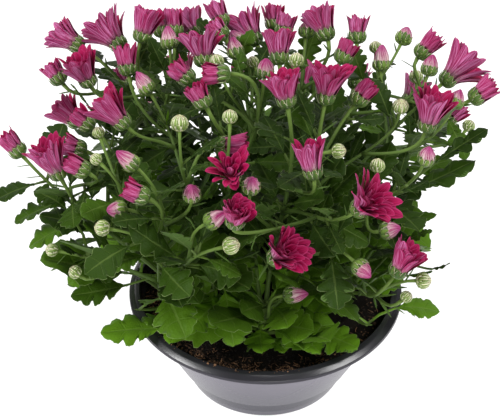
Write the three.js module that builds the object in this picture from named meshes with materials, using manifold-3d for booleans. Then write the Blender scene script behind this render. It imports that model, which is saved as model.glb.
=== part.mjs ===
// A pot chrysanthemum: five rooted cuttings, pinched and branched, in a wide plastic grower's bowl.
// Millimetres, +Z up. The origin is the centre of the bowl's flat underside.
import * as THREE from "three";
import { mergeVertices } from "three/addons/utils/BufferGeometryUtils.js";
import Module from "manifold-3d";

const wasm = await Module();
wasm.setup();

// bowl and soil
const sides = 28;
const bowlHeight = 90;
const lipRadius = 115;
const lipSkirtDepth = 5;
const lipThickness = 1.7;
const footRadius = 66;
const bandTopRadius = 74;
const bandTopHeight = 17.5;
const wallTopRadius = 107;
const wallTopHeight = 84;
const wallThickness = 2.2;
const floorThickness = 3;
const gap = 0.3;
const soilEdgeHeight = 78;
const soilMoundRise = 4;
const soilRoughness = 1.4;

// stems
const stemRootDepth = 34;
const stemRadius = 3.8;
const pinchHeight = 122;
const stubLength = 9;
const branchRadius = 2.6;
const peduncleRadius = 1.9;
const stemSides = 6;
const peduncleSides = 4;
const shortestPeduncle = 34;
const branchStep = 23;
const stemRoomBetween = 6.5;
const roomAtFork = 4.8;
const forkAngle = 48;
const curveSlacks = [0.38, 0.3, 0.46, 0.24, 0.54];
const leastFacing = 0.3;
const headToStem = 1.5;
const wallToStem = 2;
// what makes a way for a stem a poor one, each weighed in millimetres of detour
const detours = { fromMain: 8, facingAway: 25, inHead: 30, outside: 10, rubbing: 40 };
const shootPoint = 6;
const mainForkPlaces = [0.2, 0.4, 0.6, 0.8, 1];
const forksPerPlace = 2;
const forkBaseLength = 5;
const forkBaseInset = 0.12;
const leafBaseLength = 4.5;

// calyx and bud
const calyxRadius = 7.4;
const calyxHeight = 9;
const petalRootRadius = 5.2;
const petalHalfWidth = 3.4;
const petalThickness = 1.3;
const openPetals = 6;
const halfPetals = 5;
const outerRing = { root: petalRootRadius, low: 1.4 };
const innerRing = { root: 3.4, low: 4.2, share: 0.78, spread: 0.5, width: 0.8 };

// leaves
const lowLeafLength = 64;
const highLeafLength = 38;
const leafTopHeight = 270;
const lowestLeafHeight = 82;
const lobedSpan = 30;
const petioleShare = 0.22;
const leafWidth = 0.9;
const leafFold = 0.22;
const keyLeafSkew = 0.3;
const leafRoomBetween = 4.2;
const stemToLeaf = 4.4;
const headToLeaf = 2.5;
const bowlToLeaf = 3;
const openSoilRadius = 92;
const shortestStalk = 8;
const longestStalk = 56;
const keyLeafLifts = [0, 5, -5, 9, -9, 13, -12];
const stalkFoot = 4;
const leafThickness = 1.3;
const petioleHalfWidth = 1.5;
const bareNeck = 24;
const lowDroop = 0.16;
const highDroop = 0.06;
const sparedHighUp = 0.5;
const sparedSecond = 0.78;

// The five cuttings: where each stands in the soil, and the two upright walls through the
// middle of the bowl, as bearings in degrees, between which its branches and leaves stay.
const cuttings = [
  { name: "plant_right", base: [60, -20], walls: [310, 370] },
  { name: "plant_back_right", base: [41, 44], walls: [10, 90] },
  { name: "plant_back_left", base: [-32, 51], walls: [90, 160] },
  { name: "plant_front_left", base: [-73, -33], walls: [160, 257] },
  { name: "plant_front", base: [-3, -64], walls: [257, 310] },
];

// Leafy side shoots without a flower: the tip of each and how far it leans outward.
const shoots = [
  ["front_left", -104, -58, 112, 62],
  ["front_left", -64, -78, 106, 62],
  ["front_left", -124, -14, 122, 62],
  ["front_left", -56, 4, 176, 15],
  ["front_left", -92, -30, 178, 35],
  ["front_left", -34, -60, 150, 25],
  ["front", -14, -98, 104, 62],
  ["front", 34, -84, 108, 62],
  ["front", -8, -52, 166, 15],
  ["front", 28, -68, 160, 30],
  ["right", 104, -42, 116, 62],
  ["right", 84, -70, 108, 62],
  ["right", 112, 0, 124, 62],
  ["right", 66, -6, 178, 20],
  ["right", 88, -44, 168, 35],
  ["back_right", 92, 62, 116, 62],
  ["back_right", 52, 92, 112, 62],
  ["back_right", 14, 104, 118, 62],
  ["back_right", 44, 22, 176, 15],
  ["back_right", 20, 60, 160, 15],
  ["back_right", 74, 50, 196, 30],
  ["back_left", -16, 104, 112, 62],
  ["back_left", -62, 92, 114, 62],
  ["back_left", -96, 62, 122, 62],
  ["back_left", -54, 58, 196, 25],
  ["back_left", -22, 78, 160, 20],
];

// Single large leaves whose place matters: the neck of each, where its blade begins, and its tip.
const keyLeaves = [
  ["front_left", [-150, -10, 176], [-188, -4, 186]],
  ["front_left", [-144, -22, 170], [-182, -22, 180]],
  ["front_left", [-120, -60, 182], [-140, -76, 216]],
  ["front_left", [-118, -50, 146], [-178, -60, 172]],
  ["front_left", [-112, -62, 142], [-156, -66, 138]],
  ["front_left", [-86, -58, 104], [-134, -66, 102]],
  ["front_left", [-62, -66, 104], [-76, -96, 100]],
  ["front_left", [-36, -64, 106], [-68, -94, 106]],
  ["front", [-6, -78, 92], [-2, -106, 96]],
  ["front", [18, -70, 98], [44, -108, 98]],
  ["front", [40, -66, 102], [74, -94, 104]],
  ["right", [106, -44, 114], [142, -54, 108]],
  ["right", [124, -86, 170], [142, -88, 188]],
  ["right", [134, 8, 214], [176, 12, 244]],
  ["right", [118, -6, 194], [168, 8, 216]],
  ["right", [102, -28, 176], [136, -30, 190]],
  ["right", [96, -58, 186], [130, -58, 196]],
  ["right", [106, -76, 168], [130, -80, 182]],
  ["back_left", [-84, 70, 258], [-96, 80, 284]],
  ["back_left", [-140, 56, 232], [-160, 62, 256]],
  ["back_right", [56, 76, 266], [66, 84, 284]],
];

// Every flower head: its stage, the foot of its calyx, how far its axis leans from upright and
// to which bearing, its length along the axis and how far its outer petals spread.
const heads = [
  ["right", "open", 44, -20, 288, 25, 70, 35, 34],
  ["right", "bud", 104, 0, 268, 5, 330, 12, 0],
  ["right", "open", 124, -10, 256, 20, 50, 36, 22],
  ["right", "half", 68, -5, 278, 45, 30, 23, 6],
  ["right", "bud", 50, -45, 262, 80, 355, 11, 0],
  ["right", "bud", 84, -55, 250, 40, 75, 11, 0],
  ["right", "tip", 122, -35, 244, 15, 345, 17, 0],
  ["right", "tip", 88, -70, 204, 70, 350, 17, 0],
  ["right", "open", 98, -100, 184, 35, 25, 30, 22],
  ["right", "bud", 116, -95, 176, 90, 0, 12, 0],
  ["right", "bud", 106, -100, 160, 60, 30, 9, 0],
  ["back_right", "half", 6, 130, 260, 40, 95, 23, 10],
  ["back_right", "half", 12, 95, 276, 35, 65, 20, 6],
  ["back_right", "open", 10, 35, 288, 40, 95, 29, 22],
  ["back_right", "bud", 22, 15, 300, 40, 75, 11, 0],
  ["back_right", "tip", 32, 100, 272, 40, 80, 15, 0],
  ["back_right", "open", 50, 90, 276, 45, 115, 30, 22],
  ["back_right", "half", 74, 95, 270, 40, 90, 24, 8],
  ["back_right", "bud", 90, 100, 258, 40, 90, 10, 0],
  ["back_right", "tip", 92, 60, 266, 40, 85, 22, 0],
  ["back_right", "tip", 110, 95, 270, 55, 60, 16, 0],
  ["back_right", "half", 124, 90, 260, 55, 35, 27, 12],
  ["back_right", "tip", 130, 60, 262, 35, 65, 18, 0],
  ["back_right", "bud", 124, 81, 241, 40, 100, 11, 0],
  ["back_right", "open", 144, 75, 244, 65, 35, 40, 38],
  ["back_right", "half", 166, 60, 238, 65, 20, 26, 8],
  ["back_right", "tip", 150, 40, 244, 45, 55, 17, 0],
  ["back_right", "half", 58, 50, 280, 45, 50, 20, 8],
  ["back_right", "bud", 164, 52, 214, 60, 50, 10, 0],
  ["back_left", "open", -153, 104, 258, 65, 160, 30, 24],
  ["back_left", "open", -119, 95, 263, 62, 136, 36, 34],
  ["back_left", "open", -104, 85, 276, 34, 60, 30, 16],
  ["back_left", "half", -112, 60, 260, 35, 105, 26, 10],
  ["back_left", "open", -144, 65, 246, 25, 160, 32, 22],
  ["back_left", "half", -168, 72, 244, 45, 145, 21, 6],
  ["back_left", "half", -88, 115, 262, 40, 90, 24, 8],
  ["back_left", "half", -76, 90, 278, 40, 95, 24, 8],
  ["back_left", "open", -57, 106, 267, 50, 130, 28, 30],
  ["back_left", "tip", -78, 60, 286, 30, 100, 19, 0],
  ["back_left", "half", -36, 110, 276, 45, 125, 24, 8],
  ["back_left", "open", -50, 40, 282, 40, 100, 30, 32],
  ["back_left", "half", -34, 75, 286, 45, 150, 19, 5],
  ["back_left", "bud", -38, 25, 292, 40, 115, 11, 0],
  ["back_left", "tip", -24, 50, 284, 40, 110, 18, 0],
  ["back_left", "tip", -22, 80, 276, 40, 140, 15, 0],
  ["back_left", "open", -8, 110, 258, 55, 125, 34, 28],
  ["back_left", "bud", -10, 66, 266, 40, 120, 9, 0],
  ["back_left", "tip", -2, 15, 290, 10, 50, 16, 0],
  ["front_left", "tip", -92, 20, 270, 40, 145, 21, 0],
  ["front_left", "open", -108, -15, 262, 45, 160, 35, 24],
  ["front_left", "half", -138, 12, 242, 55, 160, 21, 6],
  ["front_left", "bud", -130, -15, 252, 40, 120, 9, 0],
  ["front_left", "half", -58, 15, 284, 55, 155, 23, 8],
  ["front_left", "half", -28, -5, 306, 90, 180, 22, 8],
  ["front_left", "half", -46, -25, 288, 35, 145, 21, 8],
  ["front_left", "bud", -66, -45, 280, 30, 90, 13, 0],
  ["front_left", "bud", -28, -40, 284, 40, 90, 11, 0],
  ["front_left", "half", -40, -37, 261, 85, 355, 26, 6],
  ["front_left", "half", -198, 20, 208, 50, 150, 25, 5],
  ["front_left", "open", -161, -29, 222, 25, 160, 36, 21],
  ["front_left", "half", -144, 5, 224, 70, 175, 20, 8],
  ["front_left", "bud", -127, -52, 255, 60, 150, 9, 0],
  ["front_left", "tip", -98, -60, 256, 50, 165, 21, 0],
  ["front_left", "half", -88, -85, 246, 65, 175, 21, 6],
  ["front_left", "tip", -106, -75, 228, 80, 195, 16, 0],
  ["front_left", "bud", -118, -94, 224, 85, 175, 12, 0],
  ["front_left", "bud", -164, -60, 174, 80, 175, 10, 0],
  ["front_left", "open", -26, -85, 264, 20, 270, 28, 55],
  ["front_left", "tip", -56, -85, 246, 15, 280, 17, 0],
  ["front_left", "tip", -46, -95, 230, 60, 5, 20, 0],
  ["front_left", "bud", -32, -110, 220, 75, 0, 13, 0],
  ["front_left", "bud", -144, -90, 174, 60, 155, 10, 0],
  ["front_left", "half", -138, -35, 232, 60, 170, 22, 8],
  ["front", "open", 16, -30, 292, 20, 125, 30, 22],
  ["front", "tip", -12, -75, 246, 15, 300, 16, 0],
  ["front", "open", -24, -115, 244, 15, 325, 24, 24],
  ["front", "open", 36, -75, 258, 20, 120, 31, 12],
  ["front", "open", 4, -105, 204, 45, 330, 32, 38],
  ["front", "open", 66, -92, 240, 40, 340, 34, 42],
  ["front", "tip", 14, -88, 154, 80, 355, 20, 0],
  ["front", "tip", 68, -105, 202, 100, 310, 18, 0],
  ["back_left", "half", -120, 125, 200, 60, 130, 24, 8],
  ["back_left", "open", -70, 150, 192, 60, 115, 30, 28],
  ["back_left", "half", -22, 155, 184, 55, 95, 24, 8],
  ["back_right", "open", 30, 160, 172, 65, 80, 30, 24],
  ["back_right", "half", 76, 150, 188, 60, 65, 24, 8],
  ["back_right", "open", 120, 128, 184, 60, 50, 30, 30],
  ["back_right", "half", 150, 92, 192, 60, 30, 24, 8],
  ["back_left", "open", -158, 92, 188, 60, 150, 30, 26],
  ["back_left", "tip", -96, 148, 164, 60, 120, 18, 0],
  ["back_right", "bud", 56, 165, 158, 60, 70, 11, 0],
  ["back_left", "bud", -42, 168, 152, 60, 105, 11, 0],
  ["back_right", "bud", 140, 116, 162, 60, 45, 11, 0],
];

// One repeatable stream of draws between 0 and 1.
let drawState = 20451;
function draw() {
  drawState = (drawState * 1664525 + 1013904223) % 4294967296;
  return drawState / 4294967296;
}

function radians(degrees) {
  return (degrees * Math.PI) / 180;
}

// Plain vector sums on [x, y, z] arrays.
const add = (a, b) => [a[0] + b[0], a[1] + b[1], a[2] + b[2]];
const sub = (a, b) => [a[0] - b[0], a[1] - b[1], a[2] - b[2]];
const times = (a, k) => [a[0] * k, a[1] * k, a[2] * k];
const dot = (a, b) => a[0] * b[0] + a[1] * b[1] + a[2] * b[2];
const cross = (a, b) => [a[1] * b[2] - a[2] * b[1], a[2] * b[0] - a[0] * b[2], a[0] * b[1] - a[1] * b[0]];
const length = (a) => Math.sqrt(dot(a, a));
const unit = (a) => times(a, 1 / length(a));
const mix = (a, b, k) => add(times(a, 1 - k), times(b, k));

// A direction that leans from upright by `lean` towards the bearing `turn`.
function leaning(lean, turn) {
  const outward = Math.sin(radians(lean));
  return [outward * Math.cos(radians(turn)), outward * Math.sin(radians(turn)), Math.cos(radians(lean))];
}

// A unit vector square to `axis`, as level as it can be.
function levelSide(axis) {
  const reference = Math.abs(axis[2]) > 0.95 ? [1, 0, 0] : [0, 0, 1];
  return unit(cross(axis, reference));
}

// A closed mesh of points and triangles, turned the right way out and made a solid.
function solidFrom(points, triangles) {
  let volume = 0;
  for (const [a, b, c] of triangles) {
    volume += dot(points[a], cross(points[b], points[c]));
  }
  const faces = volume < 0 ? triangles.map(([a, b, c]) => [a, c, b]) : triangles;
  const mesh = new wasm.Mesh({
    numProp: 3,
    vertProperties: new Float32Array(points.flat()),
    triVerts: new Uint32Array(faces.flat()),
  });
  return new wasm.Manifold(mesh);
}

// Triangles from each edge of a loop to one point.
function fan(triangles, centre, loop) {
  for (let k = 0; k < loop.length; k += 1) {
    triangles.push([loop[k], loop[(k + 1) % loop.length], centre]);
  }
}

// Closes a ring of points flat, or on a point if one is given.
function closeEnd(points, triangles, first, count, tip, isStart) {
  if (tip) {
    points.push(tip);
  }
  for (let k = tip ? 0 : 1; k < (tip ? count : count - 1); k += 1) {
    const a = tip ? points.length - 1 : first;
    const b = first + k;
    const c = first + ((k + 1) % count);
    triangles.push(isStart ? [a, c, b] : [a, b, c]);
  }
}

// A round section of `count` sides about `centre`, square to the tangent.
function ring(centre, tangent, side, radius, count) {
  const across = cross(tangent, side);
  const points = [];
  for (let k = 0; k < count; k += 1) {
    const angle = (2 * Math.PI * k) / count;
    const offset = add(times(side, radius * Math.cos(angle)), times(across, radius * Math.sin(angle)));
    points.push(add(centre, offset));
  }
  return points;
}

// Round sections along a list of centres. They are carried along the path without a twist.
function sections(centres, radii, count) {
  let side = levelSide(unit(sub(centres[1], centres[0])));
  return centres.map((centre, k) => {
    const tangent = unit(sub(centres[Math.min(k + 1, centres.length - 1)], centres[Math.max(k - 1, 0)]));
    side = unit(sub(side, times(tangent, dot(side, tangent))));
    return ring(centre, tangent, side, radii[k], count);
  });
}

// A cubic curve through a start and an end, each with its own direction, cut into `steps`. It
// keeps to each direction for longer the more slack it has.
function curve(start, startWay, end, endWay, slack, steps) {
  const reach = length(sub(end, start)) * slack;
  const a = add(start, times(startWay, reach));
  const b = sub(end, times(endWay, reach));
  const points = [];
  for (let k = 0; k <= steps; k += 1) {
    const t = k / steps;
    const s = 1 - t;
    const ends = add(times(start, s * s * s), times(end, t * t * t));
    points.push(add(ends, add(times(a, 3 * s * s * t), times(b, 3 * s * t * t))));
  }
  return points;
}

// A turned solid from a profile of [radius, height] that starts and ends on the axis.
function turned(profile, shape) {
  const points = profile.map(([radius, height]) => new THREE.Vector2(radius, height));
  const lathe = new THREE.LatheGeometry(points, sides);
  lathe.rotateX(Math.PI / 2);
  lathe.deleteAttribute("normal");
  lathe.deleteAttribute("uv");
  const merged = mergeVertices(lathe, 1e-4);
  const place = merged.getAttribute("position");
  const corners = [];
  for (let k = 0; k < place.count; k += 1) {
    corners.push(shape([place.getX(k), place.getY(k), place.getZ(k)]));
  }
  const index = merged.getIndex().array;
  const triangles = [];
  for (let k = 0; k < index.length; k += 3) {
    const [a, b, c] = [index[k], index[k + 1], index[k + 2]];
    if (a !== b && b !== c && a !== c) {
      triangles.push([a, b, c]);
    }
  }
  return solidFrom(corners, triangles);
}

// The bowl: foot and undercut band, a crisp edge, the flared wall, and a lip with a thin skirt.
function makeBowl() {
  const slope = (wallTopRadius - bandTopRadius) / (wallTopHeight - bandTopHeight);
  const innerRadius = (height) => bandTopRadius + (height - bandTopHeight) * slope - wallThickness;
  const skirtRadius = lipRadius - lipThickness;
  const profile = [
    [0, 0],
    [footRadius - 1, 0],
    [footRadius, 5],
    [bandTopRadius, bandTopHeight],
    [wallTopRadius, wallTopHeight],
    [skirtRadius, bowlHeight - 2],
    [skirtRadius, bowlHeight - lipSkirtDepth],
    [lipRadius, bowlHeight - lipSkirtDepth],
    [lipRadius, bowlHeight - 0.6],
    [lipRadius - 0.6, bowlHeight],
    [skirtRadius, bowlHeight],
    [wallTopRadius - 0.6, wallTopHeight + 2.4],
    [innerRadius(wallTopHeight - 2), wallTopHeight - 2],
    [innerRadius(bandTopHeight), bandTopHeight],
    [footRadius - wallThickness - 0.5, floorThickness],
    [0, floorThickness],
  ];
  return turned(profile, (point) => point);
}

// The height of the soil's surface, mounded in the middle and a little rough all over.
function soilHeight(x, y) {
  const radius = Math.sqrt(x * x + y * y);
  const ripple = Math.sin(x * 0.31 + 1.7) * Math.cos(y * 0.27 - 0.6) + 0.6 * Math.sin(x * 0.13 - y * 0.19);
  return soilEdgeHeight + soilMoundRise * (1 - (radius / 100) ** 2) + soilRoughness * ripple * 0.7;
}

// The soil fills the bowl and has a plain hole for each stem.
function makeSoil() {
  const slope = (wallTopRadius - bandTopRadius) / (wallTopHeight - bandTopHeight);
  const innerRadius = (height) => bandTopRadius + (height - bandTopHeight) * slope - wallThickness - gap;
  const top = innerRadius(soilEdgeHeight);
  const profile = [
    [0, floorThickness + gap],
    [footRadius - wallThickness - 0.5 - gap, floorThickness + gap],
    [innerRadius(bandTopHeight), bandTopHeight],
    [top, soilEdgeHeight],
    [top * 0.72, soilEdgeHeight + 1],
    [top * 0.4, soilEdgeHeight + 1],
    [0, soilEdgeHeight + 1],
  ];
  let soil = turned(profile, ([x, y, z]) => (z > soilEdgeHeight + 0.5 ? [x, y, soilHeight(x, y)] : [x, y, z]));
  for (const cutting of cuttings) {
    const [x, y] = cutting.base;
    const low = [x, y, soilHeight(x, y) - stemRootDepth - gap];
    const high = [x, y, bowlHeight + 20];
    const radius = stemRadius + gap / Math.cos(Math.PI / stemSides);
    const hole = { path: [low, high], radii: [radius, radius], sides: stemSides, leaves: [], branches: [] };
    soil = soil.subtract(grown(hole));
  }
  return soil;
}

// What each head fills, as spheres that stems and leaves stay out of.
function headSpheres(head) {
  const at = (distance) => add(head.foot, times(head.way, distance));
  if (head.stage === "shoot") {
    return [[at(shootPoint / 2), shootPoint / 2]];
  }
  if (head.stage === "bud") {
    return [[at(head.reach * 0.55), head.reach * 0.6]];
  }
  if (head.stage === "tip") {
    return [[at(6), calyxRadius], [at(head.reach * 0.7), 5]];
  }
  const petal = head.reach - calyxHeight;
  const spread = Math.sin(radians(head.spread)) * petal;
  const rise = Math.cos(radians(head.spread)) * petal;
  return [
    [at(5), calyxRadius],
    [at(calyxHeight + rise * 0.35), petalRootRadius + 3.5 + spread * 0.4],
    [at(calyxHeight + rise * 0.8), petalRootRadius + 2 + spread * 0.85],
  ];
}

const headEnd = (head) => add(head.foot, times(head.way, head.reach));

const flowerHeads = heads.map(([sector, stage, x, y, z, lean, turn, reach, spread]) => {
  const head = { plant: "plant_" + sector, stage, foot: [x, y, z], way: leaning(lean, turn), reach, spread };
  head.spheres = headSpheres(head);
  return head;
});
const shootTips = shoots.map(([sector, x, y, z, lean]) => {
  const way = leaning(lean, Math.atan2(y, x) * (180 / Math.PI));
  const head = { plant: "plant_" + sector, stage: "shoot", foot: [x, y, z], way, reach: shootPoint, spread: 0 };
  head.spheres = headSpheres(head);
  return head;
});
const allSpheres = [...flowerHeads, ...shootTips].flatMap((head) =>
  head.spheres.map(([centre, radius]) => ({ centre, radius, head })),
);

// How deep a list of points goes into the heads' spheres, all but those of one head.
function intrusion(points, clearance, ownHead) {
  let worst = 0;
  for (const sphere of allSpheres) {
    if (sphere.head === ownHead) {
      continue;
    }
    for (const point of points) {
      const depth = sphere.radius + clearance - length(sub(point, sphere.centre));
      worst = Math.max(worst, depth);
    }
  }
  return worst;
}

// How far a point lies inside the two walls of its cutting's sector, in millimetres.
function insideWalls(point, walls) {
  const [low, high] = walls.map(radians);
  const fromLow = -point[0] * Math.sin(low) + point[1] * Math.cos(low);
  const fromHigh = point[0] * Math.sin(high) - point[1] * Math.cos(high);
  return Math.min(fromLow, fromHigh);
}

// The distance from a point to the straight line between two others.
function distanceToSpan(point, from, to) {
  const span = sub(to, from);
  const part = Math.min(1, Math.max(0, dot(sub(point, from), span) / dot(span, span)));
  return length(sub(point, add(from, times(span, part))));
}

// How far two stems come inside the room that each needs, from the middle of the first stretch.
function closeness(path, other) {
  let worst = 0;
  for (let k = 1; k < path.length; k += 1) {
    for (const part of k === 1 ? [0.5, 0.75, 1] : [0.25, 0.5, 0.75, 1]) {
      const point = mix(path[k - 1], path[k], part);
      const room = k === 1 ? roomAtFork : stemRoomBetween;
      for (let n = 1; n < other.length; n += 1) {
        worst = Math.max(worst, room - distanceToSpan(point, other[n - 1], other[n]));
      }
    }
  }
  return worst;
}

// The way in which a side shoot leaves its stem: always at the same angle, towards its head.
function leavingWay(way, span) {
  const sideways = unit(sub(span, times(way, dot(span, way))));
  return add(times(way, Math.cos(radians(forkAngle))), times(sideways, Math.sin(radians(forkAngle))));
}

// Whether a face of a stem's stretch carries a branch or leaf, or is too near one on a main stem.
function isTaken(stem, segment, face) {
  const reach = stem.sides > 4 ? 1 : 0;
  return [...stem.branches, ...stem.leaves].some((piece) => {
    const apart = Math.abs(piece.face - face);
    return piece.segment === segment && Math.min(apart, stem.sides - apart) <= reach;
  });
}

// The free face of a stem's stretch that looks most nearly along a direction.
function facingSide(stem, segment, direction) {
  const { rings } = stemRings(stem);
  let best = null;
  for (let face = 0; face < stem.sides; face += 1) {
    const facing = dot(stemFace(rings, stem, segment, face).outward, direction);
    if (!isTaken(stem, segment, face) && (!best || facing > best.facing)) {
      best = { face, facing };
    }
  }
  return best;
}

// The stems of one cutting. Heads are taken from the farthest to the nearest, and each joins
// the branch, or the pinched main stem, from which it has the shortest and straightest way.
function growStems(cutting) {
  const [x, y] = cutting.base;
  const rootEnd = [x, y, soilHeight(x, y) - stemRootDepth];
  const collar = [x, y, soilHeight(x, y) + 8];
  const own = [...flowerHeads, ...shootTips].filter((head) => head.plant === cutting.name);
  const middle = times(own.reduce((sum, head) => add(sum, head.foot), [0, 0, 0]), 1 / own.length);
  const lean = unit([middle[0] - x, middle[1] - y, 170]);
  const pinch = add(collar, times(lean, (pinchHeight - collar[2]) / lean[2]));
  const stub = add(pinch, times(lean, stubLength));
  const mainPath = [rootEnd, collar, ...mainForkPlaces.map((place) => mix(collar, pinch, place)), stub];
  const mainRadii = mainPath.map((_, k) => stemRadius - 0.15 * k);
  const main = { path: mainPath, radii: mainRadii, sides: stemSides, head: null, leaves: [], branches: [] };
  const forks = mainForkPlaces.flatMap((_, k) => Array(forksPerPlace).fill({ stem: main, segment: k + 1 }));
  const stems = [main];
  const order = [...own].sort((a, b) => length(sub(b.foot, pinch)) - length(sub(a.foot, pinch)));
  for (const head of order) {
    let best = null;
    for (const fork of forks) {
      const way = unit(sub(fork.stem.path[fork.segment + 1], fork.stem.path[fork.segment]));
      const point = sub(fork.stem.path[fork.segment + 1], times(way, forkBaseLength / 2));
      const span = sub(head.foot, point);
      const far = length(span);
      if (far < shortestPeduncle) {
        continue;
      }
      const startWay = leavingWay(way, span);
      const side = facingSide(fork.stem, fork.segment, unit(sub(startWay, times(way, dot(startWay, way)))));
      const steps = Math.max(2, Math.round(far / branchStep));
      const bend = 1 - dot(startWay, unit(span)) + 0.5 * (1 - dot(head.way, unit(span)));
      if (!side || side.facing < leastFacing) {
        continue;
      }
      const extra = (fork.stem === main ? detours.fromMain : 0) + detours.facingAway * (1 - side.facing);
      const detour = far * (1 + bend + 2 * bend * bend) + extra;
      for (const slack of curveSlacks) {
        const path = curve(point, startWay, head.foot, head.way, slack, steps);
        const hit = intrusion(path.slice(1), peduncleRadius + headToStem, head);
        const inside = Math.min(...path.map((place) => insideWalls(place, cutting.walls)));
        const outside = Math.max(0, wallToStem - inside);
        const rubbing = stems.reduce((worst, other) => Math.max(worst, closeness(path, other.path)), 0);
        const cost = detour + detours.inHead * hit + detours.outside * outside + detours.rubbing * rubbing;
        if (!best || cost < best.cost) {
          best = { cost, path, fork, face: side.face };
        }
      }
    }
    const { path, fork, face } = best;
    forks.splice(forks.indexOf(fork), 1);
    const forkRadius = fork.stem.radii[fork.segment];
    const startRadius = fork.stem === main ? branchRadius : Math.min(branchRadius, forkRadius - 0.1);
    const radii = path.map((_, k) => startRadius + (peduncleRadius - startRadius) * (k / (path.length - 1)));
    const stem = { path, radii, sides: peduncleSides, head, leaves: [], branches: [] };
    fork.stem.branches.push({ segment: fork.segment, face, stem });
    stems.push(stem);
    for (let k = 1; k + 1 < path.length; k += 1) {
      if (length(sub(path[k + 1], head.foot)) > shortestPeduncle) {
        forks.push({ stem, segment: k });
      }
    }
  }
  return stems;
}

// The green foot of a head, in line with its peduncle, as [distance, radius] from foot to end:
// a flat-topped calyx under petals, a bud with a pointed tip, or a round closed bud.
function headProfile(head) {
  if (head.stage === "shoot") {
    return [[head.reach, 0]];
  }
  if (head.stage === "bud") {
    const scale = head.reach / 12;
    return [[4 * scale, 5.9 * scale], [8.6 * scale, 5.4 * scale], [12 * scale, 0]];
  }
  if (head.stage === "tip") {
    return [[5, 6.9], [head.reach * 0.6, 5.2], [head.reach, 0]];
  }
  return [[3, 6], [calyxHeight, calyxRadius]];
}

// A stem's rings: along its path, then out over the foot of its head.
function stemRings(stem) {
  const centres = [...stem.path];
  const radii = [...stem.radii];
  let end = null;
  if (stem.head) {
    for (const [distance, radius] of headProfile(stem.head)) {
      const centre = add(stem.head.foot, times(stem.head.way, distance));
      if (radius === 0) {
        end = centre;
      } else {
        centres.push(centre);
        radii.push(radius);
      }
    }
  }
  return { rings: sections(centres, radii, stem.sides), end };
}

// The outline of one side of a blade, base to tip, as [place along the blade, half width]: two
// lobes a side on a large leaf, one on a small leaf.
const lobedHalf = [
  [0.34, 0.3],
  [0.43, 0.19],
  [0.68, 0.37],
  [0.77, 0.18],
];
const narrowHalf = [
  [0.3, 0.17],
  [0.6, 0.3],
  [0.7, 0.15],
];

// A leaf's points. Its midrib curves from the root over a shoulder to the tip; a slim petiole
// is followed by a lobed blade, folded a little along the midrib.
function leafShape(leaf) {
  const along = (t) => {
    const s = 1 - t;
    return add(add(times(leaf.root, s * s), times(leaf.shoulder, 2 * s * t)), times(leaf.tip, t * t));
  };
  const level = cross(sub(leaf.tip, leaf.root), [0, 0, 1]);
  const frameAt = (t) => {
    const forward = unit(sub(along(Math.min(t + 0.05, 1)), along(Math.max(t - 0.05, 0))));
    const flat = unit(sub(level, times(forward, dot(level, forward))));
    const side = add(times(flat, Math.cos(leaf.roll)), times(cross(flat, forward), Math.sin(leaf.roll)));
    return { side, face: cross(side, forward) };
  };
  const blade = (v) => leaf.petiole + (1 - leaf.petiole) * v;
  const span = length(sub(leaf.tip, along(leaf.petiole)));
  const outline = span > lobedSpan ? lobedHalf : narrowHalf;
  const edge = (hand) =>
    outline.map(([v, half], k) => {
      const t = blade(v + hand * leaf.skew * 0.06);
      const { side, face } = frameAt(t);
      const width = half * span * leafWidth * (k % 2 ? 1 : 1 + hand * leaf.skew * 0.25);
      return add(along(t), add(times(side, hand * width), times(face, width * leafFold)));
    });
  const half = leafThickness / 2;
  const base = frameAt(leaf.petiole);
  const neck = along(leaf.petiole);
  const rib = frameAt(blade(0.55));
  const ribCentre = along(blade(0.55));
  return {
    left: edge(-1),
    right: edge(1),
    tip: leaf.tip,
    petiole: [
      add(neck, times(base.face, -leafThickness)),
      add(neck, times(base.side, -petioleHalfWidth)),
      add(neck, times(base.side, petioleHalfWidth)),
    ],
    ribTop: add(ribCentre, times(rib.face, half)),
    ribUnder: add(ribCentre, times(rib.face, -half)),
    middle: [0, 0.25, 0.5, 0.75].map((v) => along(blade(v))),
    stalk: [0.1, 0.2, 0.3, 0.4, 0.5, 0.6, 0.7, 0.8, 0.9].map((v) => along(leaf.petiole * v)),
  };
}

// Joins two loops of the same number of points, turned against each other so that they match.
function bridge(points, triangles, corners, loop) {
  const count = corners.length;
  let turn = 0;
  let least = Infinity;
  for (let tried = 0; tried < count; tried += 1) {
    const away = corners.reduce(
      (sum, corner, k) => sum + length(sub(points[loop[(k + tried) % count]], points[corner])) ** 2,
      0,
    );
    if (away < least) {
      least = away;
      turn = tried;
    }
  }
  for (let k = 0; k < count; k += 1) {
    const here = loop[(k + turn) % count];
    const next = loop[(k + 1 + turn) % count];
    const corner = corners[(k + 1) % count];
    if (length(sub(points[corner], points[here])) < length(sub(points[corners[k]], points[next]))) {
      triangles.push([corners[k], corner, here], [corner, next, here]);
    } else {
      triangles.push([corners[k], corner, next], [corners[k], next, here]);
    }
  }
}

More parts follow.
